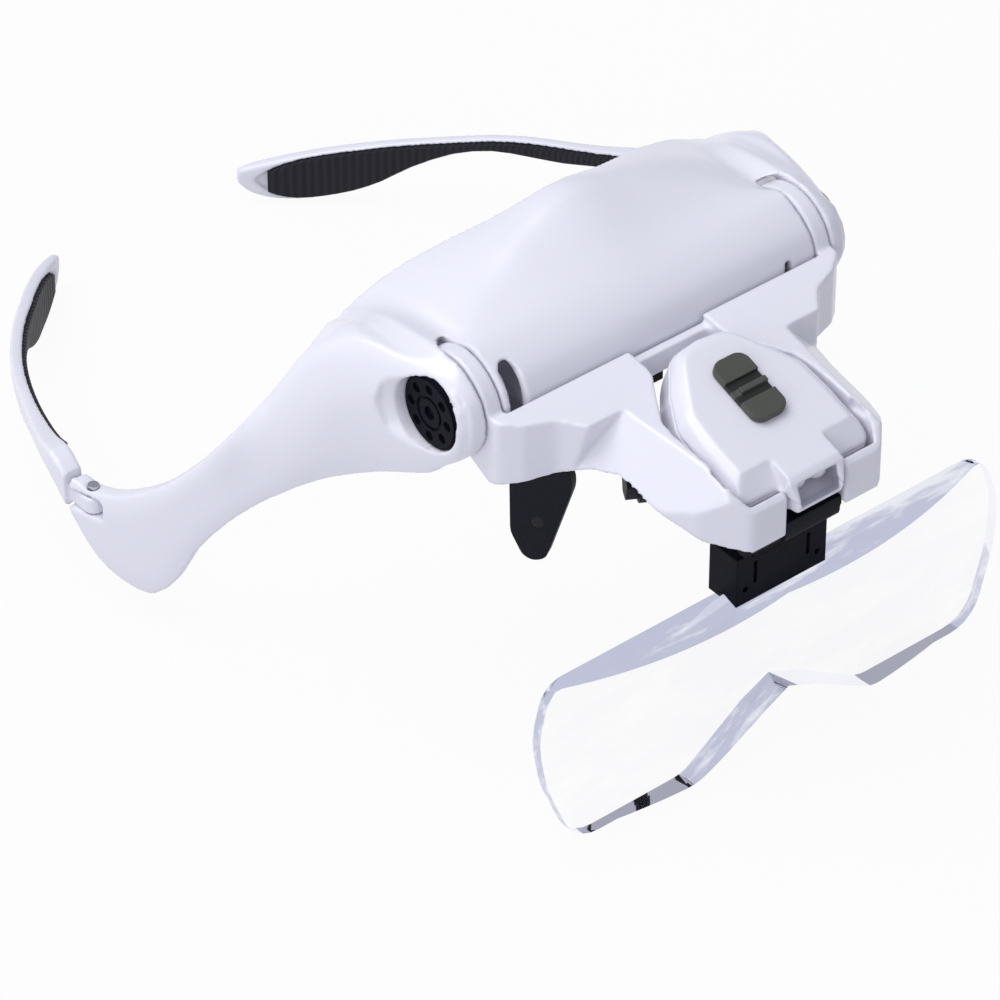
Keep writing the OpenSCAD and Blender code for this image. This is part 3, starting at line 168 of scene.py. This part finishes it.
studio = bpy.data.worlds.new("studio")
bpy.context.scene.world = studio
studio.use_nodes = True
studio.node_tree.nodes.clear()
surround = studio.node_tree.nodes.new("ShaderNodeBackground")
surround.inputs["Color"].default_value = (0.86, 0.87, 1.0, 1)
surround.inputs["Strength"].default_value = 0.46
backdrop = studio.node_tree.nodes.new("ShaderNodeBackground")
backdrop.inputs["Color"].default_value = (1, 1, 1, 1)
backdrop.inputs["Strength"].default_value = 1.0
seen_from = studio.node_tree.nodes.new("ShaderNodeLightPath")
either = studio.node_tree.nodes.new("ShaderNodeMath")
either.operation = "MAXIMUM"
chosen = studio.node_tree.nodes.new("ShaderNodeMixShader")
world_out = studio.node_tree.nodes.new("ShaderNodeOutputWorld")
studio.node_tree.links.new(seen_from.outputs["Is Camera Ray"], either.inputs[0])
studio.node_tree.links.new(seen_from.outputs["Is Transmission Ray"], either.inputs[1])
studio.node_tree.links.new(either.outputs[0], chosen.inputs[0])
studio.node_tree.links.new(surround.outputs[0], chosen.inputs[1])
studio.node_tree.links.new(backdrop.outputs[0], chosen.inputs[2])
studio.node_tree.links.new(chosen.outputs[0], world_out.inputs["Surface"])


def soft_box(name, at, aim, size, power):
    """A square soft lamp that faces the object."""
    lamp = bpy.data.lights.new(name, "AREA")
    lamp.size = size
    lamp.energy = power
    box = bpy.data.objects.new(name, lamp)
    box.location = at
    box.rotation_euler = (Vector(aim) - Vector(at)).to_track_quat("-Z", "Y").to_euler()
    bpy.context.scene.collection.objects.link(box)


soft_box("box_overhead", (-0.35, 0.25, 1.1), (0, 0, 0.06), 0.9, 8.9)
soft_box("box_side", (-1.1, -0.5, 0.55), (0, 0, 0.05), 0.7, 4.1)

# Camera: a long lens, in front on the wearer's right and looking down as the photograph does.
# The view transform is the plain one, so that colours come out as they are set.
camera_data = bpy.data.cameras.new("camera")
camera_data.lens = 210.7
camera_data.sensor_width = 36
camera_data.clip_start = 0.05
camera = bpy.data.objects.new("camera", camera_data)
camera.location = (-0.61727, -0.76942, 0.79941)
camera.rotation_euler = (math.radians(90 - 39.18), 0, math.radians(-39.23))
bpy.context.scene.collection.objects.link(camera)
bpy.context.scene.camera = camera
bpy.context.scene.view_settings.view_transform = "Standard"

# Visor shell: one white ABS moulding, the brow bar with its wide band and the two side arms.
# It is gloss moulded with a little shrinkage over its thick places; slots let the carrier's
# ears out, and each side has a round recess for the black pivot cap.
BAR_R = 11.5
SLOT_IN, SLOT_OUT = 41.1, 45.7
SIDE_X = 53.5
FIN_DROP = 71.6
ARM_END_Y, ARM_END_X = 79.5, 86.3
STEPS_ALONG, STEPS_ACROSS = 8, 7
CAP_BORE_R, BORE_FROM, BORE_TO = 8.45, 48.9, 64
DISH_R, DISH_FROM = 10.6, 49.2
SHELL_GRID = 0.5
PRESS_REACH, PRESS_FADE = 1.1, 0.4
MOST_POINTS = 96000
JOIN_GAP = 0.000002


def abs_finish(name, tint, rough, edge):
    """Glossy ABS with slight shrinkage and rounded highlights on its edges."""
    f = Finish(name)
    cloud = f.grain(22, 3)
    colour = f.blend(cloud, [c * 0.995 for c in tint], tint)
    polish = f.grain(60, 4) * 0.04 + rough
    height = f.grain(45, 2) * 0.6
    return f.show(f.node("ShaderNodeBsdfPrincipled", {}, {
        "Base Color": colour, "Roughness": polish, "IOR": 1.53,
        "Normal": f.relief(height, 0.00005, edge)}))


shell_white = abs_finish("abs_white", (0.785, 0.785, 0.855), 0.24, 0.0006)


def smooth(a, b, c, d, t):
    """A point between b and c on the smooth curve through a, b, c and d."""
    straight = (c - a) * (t / 2)
    bend = (2 * a - 5 * b + 4 * c - d) * (t * t / 2)
    swing = (3 * b - a - 3 * c + d) * (t ** 3 / 2)
    return b + straight + bend + swing


def along(row, s):
    """The place on a row of stations, at a station number with a fraction."""
    i = min(int(s), len(row) - 2)
    return smooth(row[max(i - 1, 0)], row[i], row[i + 1], row[min(i + 2, len(row) - 1)], s - i)


def finer(row, steps):
    """A row with more points between its stations."""
    return [along(row, k / steps) for k in range((len(row) - 1) * steps + 1)]


def crest(x):
    """Where the band's upper front edge stands at a distance from the middle."""
    t = min(1, x / SLOT_IN)
    return 15.5 - 10.5 * t ** 4, 19.8 - 9.8 * t ** 1.35


def rim(x):
    """Where the band's rear edge stands at a distance from the middle."""
    t = min(1, x / 42)
    return 23.5 + 9.5 * (1 - math.cos(math.pi * t)) / 2, 20 - 13.6 * t ** 1.2


def bar_point(x, angle):
    """A point on the round brow bar."""
    return Vector((x, BAR_R * math.cos(math.radians(angle)), BAR_R * math.sin(math.radians(angle))))


def brow_station(x):
    """One section of the brow, from under the bar over its front to the rear edge."""
    c, r = crest(x), rim(x)
    high = max(math.degrees(math.atan2(c[1], c[0]) + math.acos(min(1, BAR_R / math.hypot(*c)))), 104)
    join = bar_point(x, high)
    return [bar_point(x, 285), bar_point(x, 235), bar_point(x, 190), bar_point(x, (190 + high) / 2), join,
            Vector((x, (join.y + c[0]) / 2, (join.z + c[1]) / 2 + (x / SLOT_IN) ** 4)), Vector((x, *c)),
            Vector((x, (c[0] + r[0]) / 2, (c[1] + r[1]) / 2 + 0.8)), Vector((x, *r))]


corner_rows = [
    [(SLOT_OUT, -1, -12), (SLOT_OUT, -6.6, -9.5), (SLOT_OUT, -11.3, -2), (SLOT_OUT, -9.7, 6.3),
     (SLOT_OUT, -3.5, 11), (SLOT_OUT, 1.5, 11.7), (SLOT_OUT, 7, 11.4), (SLOT_OUT, 21, 9.2),
     (SLOT_OUT, 33.7, 4.1)],
    [(SIDE_X - 4.3, -2, -13.2), (SIDE_X - 3, -6.8, -8.6), (SIDE_X - 2.2, -9.2, -2.5), (SIDE_X - 2.5, -8.5, 4),
     (SIDE_X - 3.7, -5, 8.3), (SIDE_X - 5, 0, 10.5), (SIDE_X - 5.6, 5.5, 10.9), (SIDE_X - 6.2, 21, 9),
     (SIDE_X - 6.6, 33.5, 3.9)],
    [(SIDE_X - 2.3, 0.5, -16), (SIDE_X - 0.7, 0.8, -11), (SIDE_X, 0.5, -4), (SIDE_X, 0.5, 2.5),
     (SIDE_X - 0.7, 2, 6.8), (SIDE_X - 2, 5, 9.4), (SIDE_X - 3, 9.5, 9.8), (SIDE_X - 4, 22.5, 8.4),
     (SIDE_X - 4.6, 33, 3)],
    [(SIDE_X + 1.8, 11.5, -20.3), (SIDE_X + 3.4, 12, -14), (SIDE_X + 4, 12.6, -6.5), (SIDE_X + 3.9, 13.4, 0),
     (SIDE_X + 3, 15.5, 5), (SIDE_X + 1.8, 18, 7.6), (SIDE_X + 0.8, 21.5, 8.3), (SIDE_X - 0.4, 27.5, 6.3),
     (SIDE_X - 1.5, 33.4, 2)],
    [(SIDE_X + 7.5, 22.7, -26.2), (SIDE_X + 9.3, 23, -21.5), (SIDE_X + 10.1, 23.6, -16),
     (SIDE_X + 10.1, 24.4, -10.5), (SIDE_X + 9.6, 25.8, -5.5), (SIDE_X + 8.6, 28, -1.2),
     (SIDE_X + 7.3, 30.6, -0.6), (SIDE_X + 5.9, 33, -2.8), (SIDE_X + 4.5, 35, -5.5)]]
arm_low = [(33, -34.8), (42, -44.6), (49.4, -55.5), (53.5, 7.2 - FIN_DROP), (59.5, 0.2 - FIN_DROP),
           (67, 0.8 - FIN_DROP), (73.4, 4.8 - FIN_DROP), (ARM_END_Y, -58.4)]
arm_high = [(40.5, -20.5), (48, -31.5), (55.5, -40.2), (61.5, -45), (67.5, -48.6), (72.5, -50), (76, -50),
            (ARM_END_Y, -49.3)]


def arm_x(y):
    """How far out the side arm stands."""
    return ARM_END_X - 0.0506 * max(0, ARM_END_Y + 5.5 - y) ** 1.5


def arm_station(low, high):
    """One section of the side arm, from its lower to its upper edge."""
    row = []
    for v in range(9):
        t = v / 8
        y, z = low[0] * (1 - t) + high[0] * t, low[1] * (1 - t) + high[1] * t
        row.append(Vector((arm_x(y) - abs(2 * t - 1) ** 4, y, z)))
    return row


half = [brow_station(x) for x in (0, 14, 28, 37, SLOT_IN)]
half += [[Vector(p) for p in row] for row in corner_rows]
half += [arm_station(low, high) for low, high in zip(arm_low, arm_high)]
last = len(half) - 1
stations = [[Vector((-p.x, p.y, p.z)) for p in half[-k]] if k < 0 else half[k] for k in range(-last, last + 1)]
# finer along the stations first, then across each row
columns = [finer([row[v] for row in stations], STEPS_ALONG) for v in range(9)]
outer = [finer([columns[v][u] for v in range(9)], STEPS_ACROSS) for u in range(len(columns[0]))]


def to_part(p):
    """Millimetres from the tilt axis to metres in the part's frame."""
    return Vector(p) * MM + tilt_axis


def only(piece):
    """Select one piece and nothing else."""
    bpy.ops.object.select_all(action="DESELECT")
    piece.select_set(True)
    bpy.context.view_layer.objects.active = piece


def finish_step(piece, kind, **settings):
    """Add one modifier to a piece and apply it."""
    only(piece)
    step = piece.modifiers.new(kind.lower(), kind)
    for key, value in settings.items():
        setattr(step, key, value)
    bpy.ops.object.modifier_apply(modifier=step.name)


def copied(node, name):
    """A copy of a solid for a piece that stands for it, with its loose faces merged."""
    piece = nodes[node].copy()
    piece.data = piece.data.copy()
    piece.parent = None
    for key in list(piece.keys()):
        del piece[key]
    bpy.context.scene.collection.objects.link(piece)
    piece.name = name
    piece.data.name = name
    only(piece)
    bpy.ops.object.mode_set(mode="EDIT")
    bpy.ops.mesh.select_all(action="SELECT")
    bpy.ops.mesh.remove_doubles(threshold=JOIN_GAP)
    bpy.ops.mesh.normals_make_consistent(inside=False)
    bpy.ops.object.mode_set(mode="OBJECT")
    return piece


def eased(node, grid, easing, name):
    """A copied solid cut again from a fine mesh, its corners eased."""
    piece = copied(node, name)
    finish_step(piece, "REMESH", mode="VOXEL", voxel_size=grid * MM, adaptivity=0)
    finish_step(piece, "SMOOTH", factor=0.5, iterations=easing)
    return piece


def wear(piece, finish, body, angle=30, stands_for=()):
    """Give a finished piece its material, smooth shading and body, and hide the solids it stands for."""
    only(piece)
    bpy.ops.object.shade_smooth_by_angle(angle=math.radians(angle))
    piece.data.materials.clear()
    piece.data.materials.append(finish)
    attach(piece, body)
    if stands_for:
        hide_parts(*stands_for)


def cutter_rod(x0, x1, r):
    """A rod along X about the tilt axis, to cut with."""
    bpy.ops.mesh.primitive_cylinder_add(vertices=96, radius=r * MM, depth=abs(x1 - x0) * MM,
                                        location=tilt_axis + Vector(((x0 + x1) / 2 * MM, 0, 0)),
                                        rotation=(0, math.pi / 2, 0))
    return bpy.context.object


# The shell's outer face is pressed onto the fine surface through the stations
nv = len(outer[0])
face_corners = [to_part(p) for row in outer for p in row]
face_quads = [(u * nv + v, u * nv + v + 1, (u + 1) * nv + v + 1, (u + 1) * nv + v)
              for u in range(len(outer) - 1) for v in range(nv - 1)]
mould_face = BVHTree.FromPolygons(face_corners, face_quads)
visor = eased("visor_shell", SHELL_GRID, 3, "visor_skin")
facing = [v.normal.copy() for v in visor.data.vertices]
for v, normal in zip(visor.data.vertices, facing):
    off = v.co - tilt_axis
    if abs(off.x) > DISH_FROM * MM and math.hypot(off.y, off.z) < DISH_R * MM:
        continue
    spot, level, _, gap = mould_face.find_nearest(v.co, PRESS_REACH * MM)
    if spot and abs(level.dot(normal)) > 0.6:
        # Points past the surface's own edge stay where they are
        beside = abs((v.co - spot).dot(level)) / max(gap, 0.00001)
        near = min(1, max(0, (PRESS_REACH - gap / MM) / PRESS_FADE))
        v.co = v.co.lerp(spot, near * min(1, max(0, (beside - 0.7) / 0.25)))
finish_step(visor, "SMOOTH", factor=0.5, iterations=5)
for side in (-1, 1):
    bore = cutter_rod(side * BORE_FROM, side * BORE_TO, CAP_BORE_R)
    finish_step(visor, "BOOLEAN", operation="DIFFERENCE", object=bore, solver="EXACT")
    bpy.data.objects.remove(bore)
finish_step(visor, "DECIMATE", ratio=min(1, MOST_POINTS / len(visor.data.vertices)))
wear(visor, shell_white, "visor", 60, ["visor_shell"])

# Carrier frame: the white forked arm that tilts on the brow bar, one ABS moulding. The real one's
# edges are all rounded, so its solid is cut again from a fine mesh and its corners are eased.
YOKE_GRID, YOKE_EASING = 0.38, 7


def moulded(node, body, grid, easing):
    """A white moulding with eased corners, its fine mesh thinned where it is heavy."""
    piece = eased(node, grid, easing, node + "_eased")
    finish_step(piece, "DECIMATE", ratio=min(1, MOST_POINTS / len(piece.data.vertices)))
    wear(piece, shell_white, body, 60, [node])


moulded("yoke_frame", "yoke", YOKE_GRID, YOKE_EASING)

# Lamp housing: a base that hangs on two pins in the carrier and a cover with soft shoulders, both
# white ABS and screwed together round the cells, the board and the switch.
COVER_GRID, COVER_EASING = 0.3, 11
BASE_GRID, BASE_EASING = 0.35, 3

moulded("lamp_cover", "lamp", COVER_GRID, COVER_EASING)
moulded("lamp_base", "lamp", BASE_GRID, BASE_EASING)

# Temple legs: two curved white ABS legs with a slim neck and a wide end, each turning on a steel
# pin in the end of its arm.
LEG_GRID, LEG_EASING = 0.35, 6

moulded("temple_leg_left", "temple_left", LEG_GRID, LEG_EASING)
moulded("temple_leg_right", "temple_right", LEG_GRID, LEG_EASING)

# Inner liner and battery door: thin ABS covers with a satin face. The liner closes the brow bar
# from inside with screws, and the round door under the lamp has a slot for a coin.


def dress(finish, *names):
    """Give solids that keep their own mesh a finish, with crisp edges between smooth faces."""
    for name in names:
        solid = nodes[name]
        solid.data.materials.clear()
        solid.data.materials.append(finish)
        for polygon in solid.data.polygons:
            polygon.use_smooth = True
        weld = solid.modifiers.new("weld", "WELD")
        weld.merge_threshold = JOIN_GAP
        split = solid.modifiers.new("split", "EDGE_SPLIT")
        split.split_angle = math.radians(28)


liner_white = abs_finish("abs_liner", (0.74, 0.74, 0.82), 0.34, 0.0003)
dress(liner_white, "inner_liner", "battery_door")

# Pivot caps: round black covers with a ring of dimples, pressed into the recess at each side of
# the visor. They are moulded in a plastic that shines very little.


def plain_finish(name, low, high, rough, metal=0.0, depth=0.00003, edge=0.0004, gloss=0.5):
    """One colour with soft patches and a fine grain in its polish."""
    f = Finish(name)
    speck = f.grain(900, 4)
    patch = f.grain(40, 3)
    return f.show(f.node("ShaderNodeBsdfPrincipled", {}, {
        "Base Color": f.blend(patch, low, high), "Roughness": speck * 0.12 + rough, "Metallic": metal,
        "Specular IOR Level": gloss, "Normal": f.relief(speck, depth, edge)}))


black_plastic = plain_finish("plastic_black", (0.003, 0.0035, 0.008), (0.005, 0.0055, 0.011), 0.4, gloss=0.05)
dress(black_plastic, "pivot_cap_left", "pivot_cap_right")

# Lens mount and lens bracket: the mount is screwed under the carrier, and the bracket turns on a
# steel pin in it and grips the lens with a spring latch. Both are the same black plastic.
dress(black_plastic, "lens_mount", "lens_bracket")

# Nose bridge and switch body: black mouldings too, the bridge held under the brow bar by one
# screw and the switch soldered to the lamp's board.
dress(black_plastic, "nose_bridge", "switch_body")

# Nose pads: soft black rubber with a raised cushion toward the nose. Each rocks on a small
# blackened steel pin at the end of the bridge.
rubber = plain_finish("rubber_black", (0.006, 0.006, 0.012), (0.009, 0.009, 0.017), 0.5, 0, 0.00005, gloss=0.12)
dark_steel = plain_finish("steel_black", (0.02, 0.02, 0.025), (0.03, 0.03, 0.035), 0.3, 1.0, 0.00001, 0.0001)
dress(rubber, "nose_pad_left", "nose_pad_right")
dress(dark_steel, "nose_pad_pin_left", "nose_pad_pin_right")

# Temple inserts: soft black rubber grips let into the inner faces of the legs, with fine ribs
# moulded across them.


def ribbed_finish(name, low, high, rough):
    """Soft rubber with fine ribs across the grip."""
    f = Finish(name)
    speck = f.grain(900, 4)
    ribs = f.node("ShaderNodeTexWave", {"wave_type": "BANDS", "bands_direction": "Y"}, {
        "Vector": f.place(), "Scale": 230.0, "Distortion": 0.6, "Detail": 1.0}, 1)
    tone = f.blend(ribs, low, high)
    return f.show(f.node("ShaderNodeBsdfPrincipled", {}, {
        "Base Color": tone, "Roughness": speck * 0.12 + rough, "Specular IOR Level": 0.22,
        "Normal": f.relief(ribs, 0.00014, 0.0003)}))


ribbed = ribbed_finish("rubber_ribbed", (0.005, 0.005, 0.009), (0.014, 0.014, 0.022), 0.5)
dress(ribbed, "temple_insert_left", "temple_insert_right")

# Screws, bolts, nuts and pins: turned and plated steel. The bolts carry the carrier in the visor,
# the pins are pressed in, and the coin cells have cans of the same bright steel.
steel = plain_finish("steel_turned", (0.55, 0.56, 0.58), (0.66, 0.67, 0.69), 0.2, 1.0, 0.00001, 0.0001)
dress(steel, "liner_screws", "nose_bridge_screw", "lamp_screws", "lens_mount_screws")
dress(steel, "pivot_bolt_left", "pivot_bolt_right", "pivot_nut_left", "pivot_nut_right")
dress(steel, "lamp_pin_left", "lamp_pin_right", "temple_pin_left", "temple_pin_right", "lens_hinge_pin")
dress(steel, "coin_cells")

# Battery contacts: two thin strips of brass, one over and one under the stacked coin cells.
# They carry the current to the board.
brass = plain_finish("contact_brass", (0.7, 0.5, 0.2), (0.8, 0.6, 0.28), 0.25, 1.0, 0.00001, 0.0001)
dress(brass, "contact_plus", "contact_minus")

# Friction washers and series resistor: the washers are pale nylon discs on the pivot bolts that
# hold the carrier at any tilt, and the resistor's body is about the same colour.
washer = plain_finish("washer_nylon", (0.6, 0.6, 0.56), (0.68, 0.68, 0.64), 0.4)
dress(washer, "friction_washer_left", "friction_washer_right", "series_resistor")

# Circuit board: glass epoxy with green lacquer, cut to shape and clamped in the lamp.
# The LEDs, the switch and the resistor are soldered to it.
board = plain_finish("board_green", (0.01, 0.09, 0.03), (0.02, 0.13, 0.05), 0.3)
dress(board, "circuit_board")

# Switch slider: a grey ABS thumb piece on the lamp cover, with a rib across its middle between
# two grooves with painted shade. It clips to the switch's lever and slides along the slope.
COVER_SLOPE = math.radians(18.3)
SLIDER_GRID, SLIDER_EASING = 0.16, 4
GROOVE_FROM, GROOVE_TO = 0.75, 2.62


def slider_finish(name, grey, groove, middle):
    """Grey ABS with painted shade: darker in the two grooves beside the thumb rib."""
    f = Finish(name)
    at = f.node("ShaderNodeTexCoord", output="Object")
    y = f.node("ShaderNodeSeparateXYZ", {}, {"Vector": at}, 1)
    z = f.node("ShaderNodeSeparateXYZ", {}, {"Vector": at}, 2)
    back = y * math.cos(COVER_SLOPE) + z * math.sin(COVER_SLOPE) - middle
    apart = f.node("ShaderNodeMath", {"operation": "ABSOLUTE"}, {0: back})
    # painted shade: the bands of the two grooves get the dark colour for the shade that falls in them
    inside = (apart > GROOVE_FROM * MM) * (apart < GROOVE_TO * MM)
    speck = f.grain(700, 4)
    plain = f.blend(f.grain(160, 3), [c * 0.8 for c in grey], grey)
    return f.show(f.node("ShaderNodeBsdfPrincipled", {}, {
        "Base Color": f.blend(inside, plain, groove), "Roughness": speck * 0.15 + 0.38,
        "Specular IOR Level": 0.3, "Normal": f.relief(speck, 0.00003, 0.0003)}))


slider = eased("switch_slider", SLIDER_GRID, SLIDER_EASING, "slider_eased")
up_slope = Vector((0, math.cos(COVER_SLOPE), math.sin(COVER_SLOPE)))
reach = [v.co.dot(up_slope) for v in slider.data.vertices]
# The second colour is painted shade for the grooves.
slider_grey = slider_finish("slider_grey", (0.082, 0.086, 0.074), (0.02, 0.021, 0.019),
                            (min(reach) + max(reach)) / 2)
wear(slider, slider_grey, "slider", 60, ["switch_slider"])

# Lens: one clear acrylic plate with two lobes, cut and polished, clipped in the bracket by its
# tab. Its faces are nearly unseen; its rims get painted shade in lavender and dark blots, and painted highlight
# in light streaks.
RIM_TURN = 0.55


def lens_finish(name, tint, streak, dark, clear_share, bend):
    """Clear sheet that mirrors at a slant, its tint varied by painted highlight in light streaks and painted
    shade in dark blots; on cut rims the tint is lavender painted shade.
    """
    f = Finish(name)
    along_rim = f.place((0.25, 1.4, 0.8), (0.1, 0.05, 0.3))
    streaks = f.grain(150, 4, 0.6, along_rim)
    blots = f.grain(130, 2, 0.5, f.place((0.6, 1, 1)))
    # painted highlight and shade: light streaks clear the tint and dark blots darken it
    tint_and_painted_shade = f.node("ShaderNodeBsdfTransparent", {}, {"Color": (*tint, 1)})
    painted_highlight_streak = f.node("ShaderNodeBsdfTransparent", {}, {"Color": (*streak, 1)})
    painted_shade_blot = f.node("ShaderNodeBsdfTransparent", {}, {"Color": (*dark, 1)})
    highlight_share = f.node("ShaderNodeValToRGB", {"stops": [(0.5, 0.0), (0.62, 1.0)]}, {"Fac": streaks})
    shade_blot_share = f.node("ShaderNodeValToRGB", {"stops": [(0.66, 0.0), (0.69, 1.0)]}, {"Fac": blots})
    body = f.node("ShaderNodeMixShader", {}, {0: highlight_share * clear_share, 1: tint_and_painted_shade, 2: painted_highlight_streak})
    body = f.node("ShaderNodeMixShader", {}, {0: shade_blot_share * (1 - clear_share), 1: body, 2: painted_shade_blot})
    mirror = f.node("ShaderNodeBsdfGlossy", {}, {"Roughness": 0.02, "Color": (0.95, 0.95, 1, 1)})
    slant = f.node("ShaderNodeFresnel", {}, {"IOR": bend})
    return f.show(f.node("ShaderNodeMixShader", {}, {0: slant, 1: body, 2: mirror}))


# The face copy is nearly clear with faint painted highlight streaks; the rim copy is a shaded copy, its
# lavender tint and dark blots painted shade and its light streaks painted highlight.
acrylic_face = lens_finish("acrylic_face", (0.985, 0.985, 0.99), (1, 1, 1), (0.9, 0.9, 0.95), 1.0, 1.1)
acrylic_rim_painted_shade = lens_finish("acrylic_rim_painted_shade", (0.56, 0.58, 0.72), (0.95, 0.96, 1), (0.05, 0.05, 0.08), 0.75, 1.4)
lens = copied("lens", "lens_clear")
wear(lens, acrylic_face, "lens_unit", 25, ["lens"])
lens.data.materials.append(acrylic_rim_painted_shade)
for polygon in lens.data.polygons:
    if abs(polygon.normal.y) < RIM_TURN:
        polygon.material_index = 1

# LEDs: two clear epoxy lamps, 5 mm across, cast with a domed front. Their legs are soldered to
# the board and their collars sit in the lamp's two seats.


def resin_finish(name, tone, turned_away_shade, rough):
    """Clear resin with painted light: a faint painted glow where it faces the eye, and painted shade where its
    domed side turns away.
    """
    f = Finish(name)
    haze = f.grain(500, 4)
    # painted shade: the dome is darkened where its side turns from the eye
    turned = f.node("ShaderNodeLayerWeight", {}, {"Blend": 0.45}, 1)
    painted_shade_share = f.node("ShaderNodeValToRGB", {"stops": [(0.3, 0.0), (0.72, 1.0)]}, {"Fac": turned})
    depth = f.blend(painted_shade_share, tone, turned_away_shade)
    # painted light: the resin glows faintly in these colours though the LEDs are off
    skin = f.node("ShaderNodeBsdfPrincipled", {}, {
        "Base Color": depth, "Roughness": rough, "IOR": 1.55, "Coat Weight": haze * 0.3 + 0.7,
        "Coat Roughness": 0.04, "Normal": f.relief(haze, 0.00002),
        "Emission Color": depth, "Emission Strength": 0.14})
    clear = f.node("ShaderNodeBsdfTransparent", {}, {"Color": (0.95, 0.95, 0.98, 1)})
    return f.show(f.node("ShaderNodeMixShader", {}, {0: haze * 0.1 + 0.85, 1: clear, 2: skin}))


# The light tone is the resin's colour and its painted glow; the dark one is painted shade on the turned-away
# sides.
epoxy = resin_finish("epoxy_painted_glow_and_shade", (0.9, 0.9, 0.94), (0.1, 0.1, 0.13), 0.08)
dress(epoxy, "led_left", "led_right")

# LED window: a small slanted pane of clear acrylic with a faint tint, snapped into the lamp's
# front opening before the LEDs.
# The smoke tint is the pane's own colour; its faint light streaks are painted highlight and its blots painted
# shade.
smoke = lens_finish("window_smoke", (0.93, 0.93, 0.95), (0.97, 0.97, 0.98), (0.85, 0.85, 0.9), 0.8, 1.15)
dress(smoke, "led_window")
